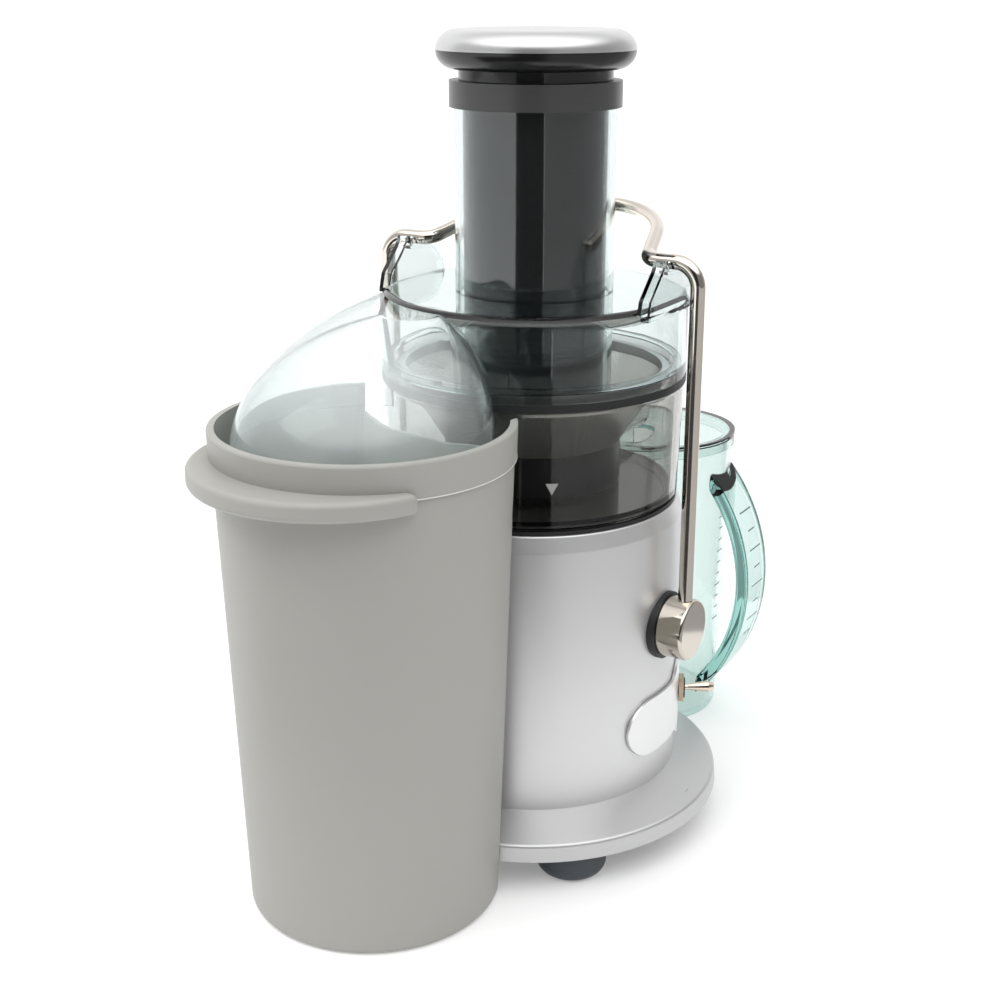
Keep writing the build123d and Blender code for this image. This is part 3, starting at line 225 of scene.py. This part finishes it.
class ShaderBook(NodeBook):
    """One material and the nodes in it."""

    def __init__(self, name: str) -> None:
        """Start an empty node material.

        Args:
            name: the material's name.
        """
        self.material = bpy.data.materials.new(name)
        self.material.use_nodes = True
        super().__init__(self.material.node_tree)

    def place(self, stretch: Triple = EVEN) -> Value:
        """Object coordinates, stretched along the axes."""
        spot = self.node("ShaderNodeTexCoord", {}, {}, "Object")
        return self.node("ShaderNodeMapping", {}, {"Vector": spot, "Scale": stretch})

    def noise(self, scale: float, detail: float = 2.0, stretch: Triple = EVEN) -> Value:
        """Noise from 0 to 1 over the object's own coordinates, in metres."""
        inputs = {"Vector": self.place(stretch), "Scale": scale, "Detail": detail}
        return self.node("ShaderNodeTexNoise", {}, inputs)

    def about(self, factor: Value, colour: Triple, wander: float) -> Value:
        """A colour that a factor makes darker or lighter by a share."""
        return self.tone(factor, scaled(colour, 1 - wander), scaled(colour, 1 + wander))

    def bump(self, height: Value, depth: float, strength: float) -> Value:
        """A normal bent by a height in metres times depth."""
        inputs = {"Height": height, "Distance": depth, "Strength": strength}
        return self.node("ShaderNodeBump", {}, inputs)

    def finish(self, inputs: Dict[object, object]) -> bpy.types.Material:
        """Close the material with one principled shader.

        Args:
            inputs: values and links of the shader's sockets.

        Returns:
            The material.
        """
        surface = self.node("ShaderNodeBsdfPrincipled", {}, inputs)
        self.end("ShaderNodeOutputMaterial", Surface=surface)
        return self.material


@dataclass(frozen=True)
class SolidFinish:
    """An opaque finish: paint, plastic, rubber or metal.

    The colour and the roughness wander with a broad noise and a fine one. The fine noise is also the grain
    that the bump follows.
    """

    name: str
    colour: Triple
    roughness: float
    metallic: float = 0.0
    wander: float = 0.04
    grain_scale: float = 900.0
    grain_depth: float = 0.00002
    grain_strength: float = 0.2
    stretch: Triple = EVEN
    broad_scale: float = 14.0
    broad_detail: float = 3.0
    broad_share: float = 0.6
    roughness_swing: float = 0.3

    def material(self) -> bpy.types.Material:
        """Build the finish's material.

        Returns:
            The material.
        """
        book = ShaderBook(self.name)
        broad = book.noise(self.broad_scale, self.broad_detail)
        grain = book.noise(self.grain_scale, stretch=self.stretch)
        mixed = broad * self.broad_share + grain * (1 - self.broad_share)
        swing = self.roughness * self.roughness_swing
        return book.finish({
            "Base Color": book.about(mixed, self.colour, self.wander),
            "Roughness": mixed * swing + (self.roughness - swing / 2),
            "Metallic": self.metallic,
            "Normal": book.bump(grain, self.grain_depth, self.grain_strength),
        })


@dataclass(frozen=True)
class PerforatedFinish:
    """Steel sheet with fine round holes: dark, sunken spots around the points of a cell pattern."""

    name: str
    colour: Triple
    holes_per_metre: float = 1100.0
    hole_share: float = 0.26
    scatter: float = 0.15
    hole_tone: float = 0.04
    hole_roughness: float = 0.6
    sheet_roughness: float = 0.3
    metallic: float = 0.9
    hole_depth: float = 0.0003
    edge_strength: float = 0.6

    def material(self) -> bpy.types.Material:
        """Build the finish's material.

        Returns:
            The material.
        """
        book = ShaderBook(self.name)
        pattern = {"Vector": book.place(), "Scale": self.holes_per_metre, "Randomness": self.scatter}
        cells = book.node("ShaderNodeTexVoronoi", {}, pattern)
        solid = book.node("ShaderNodeMath", {"operation": "GREATER_THAN"}, {0: cells, 1: self.hole_share})
        return book.finish({
            "Base Color": book.tone(solid, scaled(self.colour, self.hole_tone), self.colour),
            "Roughness": self.hole_roughness - solid * (self.hole_roughness - self.sheet_roughness),
            "Metallic": solid * self.metallic,
            "Normal": book.bump(solid, self.hole_depth, self.edge_strength),
        })


@dataclass(frozen=True)
class PaintedSheen:
    """A painted reflection in a clear plastic: a white sheen, which grows along X from one place to another
    and thins out low down.
    """

    share: float
    from_x: float
    to_x: float
    low_z: float
    high_z: float
    low_share: float
    dark: Triple = (0.86, 0.87, 0.87)
    light: Triple = (0.92, 0.93, 0.93)
    roughness: float = 0.6
    smear_swing: float = 0.3

    def over(self, book: ShaderBook, body: Value, smear: Value) -> Value:
        """Mix the painted sheen into a shader.

        Args:
            book: the material's book.
            body: the clear shader.
            smear: noise that the painted sheen follows a little.

        Returns:
            The mixed shader.
        """
        place = book.place()
        smooth = {"interpolation_type": "SMOOTHSTEP"}
        grown = book.node("ShaderNodeMapRange", smooth, {
            "Value": book.axis(place, "X"), "From Min": self.from_x, "From Max": self.to_x,
        })
        risen = book.node("ShaderNodeMapRange", smooth, {
            "Value": book.axis(place, "Z"), "From Min": self.low_z, "From Max": self.high_z,
            "To Min": self.low_share, "To Max": 1.0,
        })
        # Painted reflection: a white diffuse shader stands in for the light that the dome reflects.
        white = book.node("ShaderNodeBsdfPrincipled", {}, {
            "Base Color": book.tone(smear, self.dark, self.light), "Roughness": self.roughness,
        })
        patchy = smear * self.smear_swing + (1 - self.smear_swing / 2)
        share = grown * risen * patchy * self.share
        return book.node("ShaderNodeMixShader", {}, {0: share, 1: body, 2: white})


@dataclass(frozen=True)
class ClearFinish:
    """A see-through plastic.

    Each face takes a little light, and the plastic takes up more along its way, so thick and slanted walls
    look darker. Faint smears roughen it, slow waves bend what shows through it, and lamps shine through it.
    """

    name: str
    take_up: Triple
    per_metre: float
    through: Triple
    faces: Triple = (0.97, 0.98, 0.98)
    painted_sheen: Optional[PaintedSheen] = None
    wander: float = 0.02
    roughness: float = 0.02
    smooth_share: float = 0.2
    ior: float = 1.49
    smear_scale: float = 22.0
    smear_detail: float = 3.0
    wave_scale: float = 18.0
    wave_depth: float = 0.0002
    wave_strength: float = 0.15

    def material(self) -> bpy.types.Material:
        """Build the finish's material.

        Returns:
            The material.
        """
        book = ShaderBook(self.name)
        smear = book.noise(self.smear_scale, self.smear_detail)
        wave = book.noise(self.wave_scale, detail=0.0)
        body = book.node("ShaderNodeBsdfPrincipled", {}, {
            "Base Color": book.about(smear, self.faces, self.wander),
            "Roughness": smear * self.roughness + self.roughness * self.smooth_share,
            "Transmission Weight": 1.0,
            "IOR": self.ior,
            "Normal": book.bump(wave, self.wave_depth, self.wave_strength),
        })
        # Painted reflection: a white sheen mixed over the clear shader, where one is given.
        if self.painted_sheen is not None:
            body = self.painted_sheen.over(book, body, smear)
        open_way = book.node("ShaderNodeBsdfTransparent", {}, {"Color": self.through})
        lamp_ray = book.node("ShaderNodeLightPath", {}, {}, "Is Shadow Ray")
        surface = book.node("ShaderNodeMixShader", {}, {0: lamp_ray, 1: body, 2: open_way})
        taken = {"Color": self.take_up, "Density": self.per_metre}
        inside = book.node("ShaderNodeVolumeAbsorption", {}, taken)
        book.end("ShaderNodeOutputMaterial", Surface=surface, Volume=inside)
        return book.material


Finish = Union[SolidFinish, PerforatedFinish, ClearFinish]
SILVER_PAINT = SolidFinish(
    "silver_paint", (0.69, 0.69, 0.695), 0.4, metallic=0.75, wander=0.02, grain_scale=2400.0
)
BRIGHT_METAL = SolidFinish(
    "bright_metal", (0.78, 0.72, 0.65), 0.07, metallic=1.0, wander=0.015, grain_strength=0.02
)
# Painted shade: the knobs take a darker copy of the bright metal, to dim their reflections.
KNOB_METAL_SHADED = replace(BRIGHT_METAL, name="knob_metal_shaded", colour=(0.58, 0.535, 0.475), roughness=0.08)
# Painted reflection on the dome: the white sheen grows towards -X and thins out low down.
DOME_PAINTED_SHEEN = PaintedSheen(share=0.34, from_x=-0.07, to_x=-0.15, low_z=0.245, high_z=0.285, low_share=0.45)
SLOT_FINISHES: Dict[Slot, Finish] = {
    Slot.SILVER_PAINT: SILVER_PAINT,
    Slot.PLATE_METAL: SolidFinish("plate_metal", (0.78, 0.78, 0.785), 0.3, metallic=0.8, wander=0.02),
    Slot.BLACK_RUBBER: SolidFinish("black_rubber", (0.012, 0.012, 0.013), 0.5, grain_scale=1400.0),
    Slot.BLACK_PLASTIC: SolidFinish("black_plastic", (0.012, 0.012, 0.013), 0.3),
    Slot.BRIGHT_METAL: BRIGHT_METAL,
    Slot.STEEL: SolidFinish("steel", (0.6, 0.6, 0.61), 0.28, metallic=1.0, stretch=(1.0, 1.0, 12.0)),
    Slot.CAST_ALLOY: SolidFinish("cast_alloy", (0.55, 0.56, 0.57), 0.45, metallic=1.0),
    Slot.COPPER: SolidFinish("copper", (0.72, 0.34, 0.16), 0.35, metallic=1.0, stretch=(1.0, 1.0, 8.0)),
    Slot.CARBON: SolidFinish("carbon", (0.02, 0.02, 0.022), 0.7),
    Slot.BOARD: SolidFinish("board", (0.04, 0.16, 0.07), 0.4),
    Slot.SMOKED_PLASTIC: ClearFinish("smoked_plastic", (0.06, 0.05, 0.0), 125.0, (0.7, 0.7, 0.68)),
    Slot.CLEAR_PLASTIC: ClearFinish(
        "clear_plastic", (0.25, 0.5, 0.47), 55.0, (0.9, 0.93, 0.93), painted_sheen=DOME_PAINTED_SHEEN
    ),
    Slot.JUG_CLEAR: ClearFinish(
        "jug_clear", (0.0, 0.56, 0.49), 30.0, (0.84, 0.9, 0.88), faces=(0.86, 0.89, 0.88)
    ),
    Slot.PUSHER_DARK: SolidFinish(
        "pusher_dark", (0.012, 0.0125, 0.013), 0.05, wander=0.05, grain_strength=0.01
    ),
    Slot.CAP_SILVER: replace(
        SILVER_PAINT, name="cap_silver", colour=(0.64, 0.64, 0.645), roughness=0.28, metallic=0.8
    ),
    Slot.BIN_GREY: SolidFinish(
        "bin_grey", (0.34, 0.336, 0.313), 0.48, wander=0.02, grain_scale=1600.0, grain_strength=0.3
    ),
}
NODE_FINISHES: Dict[str, Finish] = {
    # Painted shade: the skirt takes a darker copy of the silver paint, to dim its upward-facing slope.
    "base_skirt": replace(SILVER_PAINT, name="skirt_silver_shaded", colour=(0.56, 0.56, 0.563)),
    "front_knob": KNOB_METAL_SHADED,
    "rear_knob": KNOB_METAL_SHADED,
    "switch_nut": SolidFinish("nut_bronze", (0.56, 0.44, 0.32), 0.22, metallic=1.0, wander=0.03),
    "toggle_lever": SolidFinish("lever_warm", (0.74, 0.64, 0.53), 0.12, metallic=1.0, wander=0.02),
    "filter_mesh": PerforatedFinish("mesh_steel", (0.54, 0.525, 0.5)),
    "pusher_collar": SolidFinish("collar_grey", (0.045, 0.045, 0.046), 0.3),
    "pusher_cap_base": SolidFinish("grip_dark", (0.008, 0.008, 0.008), 0.22, wander=0.05),
    "rubber_feet": SolidFinish("foot_rubber", (0.045, 0.055, 0.065), 0.55, grain_scale=1400.0),
}
WHITE_PRINT = SolidFinish("white_print", (0.3, 0.3, 0.29), 0.5)
SCALE_PRINT = SolidFinish("scale_print", (0.12, 0.17, 0.17), 0.5)
# Painted highlight: the bead under the bin's band is the bin's plastic in a lighter grey.
BIN_BEAD_HIGHLIGHT = SolidFinish("bin_bead_highlight", (0.6, 0.595, 0.57), 0.35, wander=0.02)


def linked(name: str, data: bpy.types.ID) -> bpy.types.Object:
    """Make an object and put it into the scene.

    Args:
        name: the object's name.
        data: its mesh, lamp or camera data.

    Returns:
        The object.
    """
    made = bpy.data.objects.new(name, data)
    bpy.context.scene.collection.objects.link(made)
    return made


@dataclass(frozen=True)
class Softbox:
    """A rectangle of even light: its bearing from the camera's side, its place and its brightness."""

    name: str
    bearing_deg: float
    distance: float
    height: float
    width: float
    tall: float
    brightness: float
    aim: Triple = (0.0, 0.0, 0.2)
    watts_per_area: float = 4.0

    def build(self, toward_deg: float) -> None:
        """Hang the light so that it faces the juicer, hidden from reflections.

        Args:
            toward_deg: the bearing from the juicer to the camera, from +X.
        """
        turn = np.radians(toward_deg + self.bearing_deg)
        place = np.array((self.distance * np.cos(turn), self.distance * np.sin(turn), self.height))
        data = bpy.data.lights.new(self.name, "AREA")
        data.shape = "RECTANGLE"
        data.size = self.width
        data.size_y = self.tall
        data.energy = self.watts_per_area * self.width * self.tall * self.brightness
        aim = np.array(self.aim) - place
        flat = float(np.hypot(aim[0], aim[1]))
        lamp = linked(self.name, data)
        lamp.location = place
        lamp.rotation_euler = (np.arctan2(flat, -aim[2]), 0.0, np.arctan2(-aim[0], aim[1]))
        lamp.visible_glossy = False


@dataclass(frozen=True)
class Card:
    """A card on the floor, seen only in reflections: a sector of a ring about the juicer."""

    name: str
    from_deg: float
    to_deg: float
    near: float
    far: float
    shade: float
    cuts: int = 24
    above_floor: float = 0.0005
    roughness: float = 0.9

    def build(self, toward_deg: float) -> None:
        """Lay the card down.

        Args:
            toward_deg: the bearing from the juicer to the camera, from +X.
        """
        turn = np.radians(toward_deg + np.linspace(self.from_deg, self.to_deg, self.cuts))
        rim = np.stack([np.cos(turn), np.sin(turn), np.zeros_like(turn)], axis=1)
        spots = np.concatenate([rim * self.near, rim * self.far]) + (0.0, 0.0, self.above_floor)
        first = np.arange(self.cuts - 1)
        faces = np.stack([first, first + self.cuts, first + self.cuts + 1, first + 1], axis=1)
        mesh = bpy.data.meshes.new(self.name)
        mesh.from_pydata(spots.tolist(), [], faces.tolist())
        mesh.materials.append(SolidFinish(self.name, (self.shade,) * 3, self.roughness).material())
        card = linked(self.name, mesh)
        card.visible_camera = False
        card.visible_diffuse = False
        card.visible_shadow = False


@dataclass
class Studio:
    """The photograph's camera, a pale floor with cards, two soft boxes and the surround."""

    camera_place: Triple = (-0.6708, -0.3821, 0.43279)
    camera_turn_deg: Triple = (71.423, 0.0, -59.05)
    lens_mm: float = 55.67
    sensor_mm: float = 36.0
    clip_start: float = 0.01
    toward_camera_deg: float = 210.95
    floor_reach: float = 6.0
    floor_dark: Triple = (0.74, 0.74, 0.74)
    floor_light: Triple = (0.76, 0.76, 0.76)
    floor_speck_scale: float = 300.0
    floor_roughness: float = 0.9
    floor_glow: float = 0.25
    ceiling_start: float = 0.5
    ceiling_full: float = 0.72
    ceiling_fade: float = 0.5
    ceiling_back: float = 0.8
    ceiling_front: float = 2.7
    white: Triple = (1.1, 1.1, 1.1)
    bounces: int = 24
    cards: List[Card] = field(default_factory=lambda: [
        Card("near_dark_card", from_deg=-76.0, to_deg=12.0, near=0.34, far=1.1, shade=0.01),
        Card("far_dark_card", from_deg=-29.0, to_deg=11.0, near=1.1, far=7.5, shade=0.01),
        Card("grey_card", from_deg=12.0, to_deg=130.0, near=0.325, far=7.5, shade=0.36),
    ])
    boxes: List[Softbox] = field(default_factory=lambda: [
        Softbox(
            "left_box", bearing_deg=-78.0, distance=1.2, height=1.7, width=1.0, tall=1.0, brightness=2.6
        ),
        Softbox(
            "right_box", bearing_deg=48.0, distance=1.6, height=0.8, width=0.8, tall=1.2, brightness=0.35
        ),
    ])
    backdrop: List[Tuple[float, float]] = field(default_factory=lambda: [
        (-180.0, 1.1), (-118.0, 1.1), (-104.0, 0.55), (-34.0, 0.5), (-27.0, 0.03), (10.0, 0.03),
        (16.0, 0.22), (84.0, 0.22), (125.0, 0.5), (150.0, 1.1), (180.0, 1.1),
    ])

    def build(self) -> None:
        """Make the camera, floor, cards, lights and surround."""
        self._camera()
        self._floor()
        for item in (*self.cards, *self.boxes):
            item.build(self.toward_camera_deg)
            LOG.info("placed %s", item.name)
        self._surround()
        self._exposure()

    def _camera(self) -> None:
        """The camera at the photograph's viewing angle."""
        data = bpy.data.cameras.new("camera")
        data.lens = self.lens_mm
        data.sensor_width = self.sensor_mm
        data.clip_start = self.clip_start
        camera = linked("camera", data)
        camera.location = self.camera_place
        camera.rotation_euler = np.radians(self.camera_turn_deg)
        bpy.context.scene.camera = camera

    def _floor(self) -> None:
        """A wide pale floor that glows a little, so that it comes out white."""
        side = self.floor_reach
        corners = [(-side, -side, 0), (side, -side, 0), (side, side, 0), (-side, side, 0)]
        mesh = bpy.data.meshes.new("floor")
        mesh.from_pydata(corners, [], [(0, 1, 2, 3)])
        book = ShaderBook("floor_white")
        speck = book.noise(self.floor_speck_scale)
        mesh.materials.append(book.finish({
            "Base Color": book.tone(speck, self.floor_dark, self.floor_light),
            "Roughness": self.floor_roughness,
            "Emission Color": (1.0, 1.0, 1.0),
            "Emission Strength": self.floor_glow,
        }))
        linked("floor", mesh)

    def _surround(self) -> None:
        """The world: brightness by bearing from the camera, under a ceiling brightest on the camera's side.

        It lights the juicer and shows in its reflections. The backdrop itself is plain white from every side.
        """
        world = bpy.data.worlds.new("surround")
        world.use_nodes = True
        book = NodeBook(world.node_tree)
        way = book.node("ShaderNodeTexCoord", {}, {}, "Generated")
        back = (0.0, 0.0, float(-np.radians(self.toward_camera_deg)))
        turned = book.node("ShaderNodeMapping", {}, {"Vector": way, "Rotation": back})
        bearing = book.node("ShaderNodeTexGradient", {"gradient_type": "RADIAL"}, {"Vector": turned}, "Fac")
        stops = [(0.5 + angle / 360.0, bright) for angle, bright in self.backdrop]
        around = book.node("ShaderNodeValToRGB", {"stops": stops}, {"Fac": bearing})
        ceiling = book.node("ShaderNodeMapRange", {}, {
            "Value": book.axis(way, "Z"), "From Min": self.ceiling_start, "From Max": self.ceiling_full,
        })
        above = book.node("ShaderNodeMapRange", {}, {
            "Value": book.axis(turned, "X"), "From Min": -self.ceiling_fade, "From Max": self.ceiling_fade,
            "To Min": self.ceiling_back, "To Max": self.ceiling_front,
        })
        in_view = book.node("ShaderNodeLightPath", {}, {}, "Is Camera Ray")
        shown = book.tone(in_view, book.tone(ceiling, around, above), self.white)
        book.end("ShaderNodeOutputWorld", Surface=book.node("ShaderNodeBackground", {}, {"Color": shown}))
        bpy.context.scene.world = world

    def _exposure(self) -> None:
        """Plain colours, as the photograph has them, and enough bounces for walls behind walls."""
        scene = bpy.context.scene
        scene.view_settings.view_transform = "Standard"
        scene.cycles.max_bounces = self.bounces
        scene.cycles.transmission_bounces = self.bounces
        scene.cycles.transparent_max_bounces = self.bounces


@dataclass
class Dresser:
    """Puts each finish on the CAD nodes that carry its slot."""

    frame: Dict[str, Any]
    materials: Dict[str, bpy.types.Material] = field(default_factory=dict)

    def material(self, finish: Finish) -> bpy.types.Material:
        """Find the material of a finish, made once.

        Args:
            finish: the finish.

        Returns:
            Its material.
        """
        if finish.name not in self.materials:
            self.materials[finish.name] = finish.material()
        return self.materials[finish.name]

    def dress_nodes(self) -> None:
        """Dress every CAD node with its own finish or its slot's."""
        for part in self.frame["record"]["subparts"]:
            name = part["node"]
            finish = NODE_FINISHES.get(name, SLOT_FINISHES[Slot(part["material_slot"])])
            node = self.frame["nodes"][name]
            node.data.materials.clear()
            node.data.materials.append(self.material(finish))
            LOG.info("dressed %s as %s", name, finish.name)

    def patch(self, name: str, spots: np.ndarray, body: Body, finish: Finish) -> None:
        """Make one small piece from a grid of points, dress it and tie it to a body.

        Each face joins four neighbours of the grid.

        Args:
            name: the piece's name.
            spots: points in metres, shaped (rows, columns, 3), turning left seen from outside.
            body: the body that it rides on.
            finish: its own finish.
        """
        rows, columns = spots.shape[:2]
        index = np.arange(rows * columns).reshape(rows, columns)
        corners = (index[:-1, :-1], index[:-1, 1:], index[1:, 1:], index[1:, :-1])
        faces = np.stack(corners, axis=-1).reshape(-1, 4)
        mesh = bpy.data.meshes.new(name)
        mesh.from_pydata(spots.reshape(-1, 3).tolist(), [], faces.tolist())
        mesh.materials.append(self.material(finish))
        piece = linked(name, mesh)
        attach(piece, body.value)
        LOG.info("made %s on %s", name, body.value)


def grid(x: np.ndarray, y: np.ndarray, z: np.ndarray) -> np.ndarray:
    """Three arrays, stretched to one shape, as a grid of points."""
    return np.stack(np.broadcast_arrays(x, y, z), axis=-1)


@dataclass(frozen=True)
class BowlPrint:
    """The mark printed on the smoked bowl's wall."""

    wide: float = 0.0062
    tall: float = 0.0058
    top: float = 0.2068
    bearing_deg: float = 216.5
    tip_share: float = 0.985
    cuts: int = 9
    wall_foot: float = 0.184
    wall_tall: float = 0.0555
    wall_radius: float = 0.0750
    wall_flare: float = 0.0016
    lift: float = 0.00012

    def build(self, dresser: Dresser) -> None:
        """Make a triangle that points down.

        Each row is narrower than the one above. A point's radius is the slanted wall's at its height, plus
        the lift.

        Args:
            dresser: what makes and dresses the piece.
        """
        drop = np.linspace(0.0, self.tip_share, self.cuts)[:, None]
        across = np.linspace(-0.5, 0.5, self.cuts)[None, :]
        height = self.top - self.tall * drop
        radius = self.wall_radius + self.wall_flare * (height - self.wall_foot) / self.wall_tall + self.lift
        turn = np.radians(self.bearing_deg) + across * self.wide * (1.0 - drop) / radius
        spots = grid(radius * np.cos(turn), radius * np.sin(turn), height)
        dresser.patch("bowl_mark", spots[::-1], Body.BASE, WHITE_PRINT)


@dataclass(frozen=True)
class JugPrint:
    """The plain ticks on the jug's handle and on its wall."""

    middle_x: float = 0.150
    lift: float = 0.00012
    bow_y: float = 0.03493
    bow_z: float = 0.08907
    bow_radius: float = 0.10473
    handle_heights: Tuple[float, float] = (0.057, 0.134)
    handle_ticks: int = 8
    handle_reach: Tuple[float, float] = (0.0045, 0.008)
    handle_half_line: float = 0.0004
    wall_radius: float = 0.042
    wall_flare: float = 0.0045
    wall_tall: float = 0.17513
    wall_bearing_deg: float = 270.0
    wall_heights: Tuple[float, float] = (0.062, 0.128)
    wall_ticks: int = 10
    wall_reach: Tuple[float, float] = (0.05, 0.085)
    wall_half_line: float = 0.00035

    def build(self, dresser: Dresser) -> None:
        """Make both rows of ticks."""
        self._handle(dresser)
        self._wall(dresser)

    def _handle(self, dresser: Dresser) -> None:
        """Make the ticks on the outside of the handle, every second one longer.

        The handle's outside is part of a round about a line along X. A tick is a short strip along X on that
        round.

        Args:
            dresser: what makes and dresses the pieces.
        """
        short, long = self.handle_reach
        bow = self.bow_radius + self.lift
        line = np.linspace(-self.handle_half_line, self.handle_half_line, 3)[:, None]
        for place, height in enumerate(np.linspace(*self.handle_heights, self.handle_ticks)):
            reach = long if place % 2 else short
            rise = np.arcsin((height + line - self.bow_z) / bow)
            across = self.middle_x + np.linspace(-reach, reach, 5)[None, :]
            spots = grid(across, self.bow_y - bow * np.cos(rise), self.bow_z + bow * np.sin(rise))
            dresser.patch(f"jug_tick_{place}", spots, Body.JUG, SCALE_PRINT)

    def _wall(self, dresser: Dresser) -> None:
        """Make a column of ticks on the wall, behind the handle, every third one longer.

        A tick is a short strip of the tapered wall, whose radius grows evenly with the height.

        Args:
            dresser: what makes and dresses the pieces.
        """
        short, long = self.wall_reach
        line = np.linspace(-self.wall_half_line, self.wall_half_line, 2)[:, None]
        for place, middle in enumerate(np.linspace(*self.wall_heights, self.wall_ticks)):
            height = middle + line
            radius = self.wall_radius + self.wall_flare * height / self.wall_tall + self.lift
            reach = short if place % 3 else long
            turn = np.radians(self.wall_bearing_deg) + np.linspace(-reach, reach, 4)[None, :]
            spots = grid(self.middle_x + radius * np.cos(turn), radius * np.sin(turn), height)
            dresser.patch(f"wall_tick_{place}", spots, Body.JUG, SCALE_PRINT)


@dataclass(frozen=True)
class BinTrim:
    """The fine bead under the pulp bin's rim band, in a lighter grey than the bin as a painted highlight."""

    middle_x: float = -0.1202
    middle_y: float = 0.0209
    arc: float = 0.07022
    height: float = 0.2261
    size: float = 0.00032
    spans_deg: Tuple[Tuple[float, float], ...] = ((234.0, 304.0), (36.0, 114.0))
    around_cuts: int = 13
    along_cuts: int = 61

    def build(self, dresser: Dresser) -> None:
        """Make a bead from each end of the grip to the machine side.

        A round section of fixed size runs along an arc about the bin's axis, at the band's lower edge.

        Args:
            dresser: what makes and dresses the pieces.
        """
        round_way = np.linspace(0.0, 2.0 * np.pi, self.around_cuts)[:, None]
        radius = self.arc + self.size * np.cos(round_way)
        height = self.height + self.size * np.sin(round_way)
        for place, (start, stop) in enumerate(self.spans_deg):
            turn = np.radians(np.linspace(start, stop, self.along_cuts))[None, :]
            spots = grid(self.middle_x + radius * np.cos(turn), self.middle_y + radius * np.sin(turn), height)
            dresser.patch(f"bin_bead_{place}", spots, Body.BIN, BIN_BEAD_HIGHLIGHT)


def main() -> None:
    """Build the scene in order."""
    logging.basicConfig(level=logging.INFO, format="%(message)s")
    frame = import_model()
    dresser = Dresser(frame)
    dresser.dress_nodes()
    for trim in (BowlPrint(), JugPrint(), BinTrim()):
        trim.build(dresser)
    Studio().build()


if __name__ == "__main__":
    main()
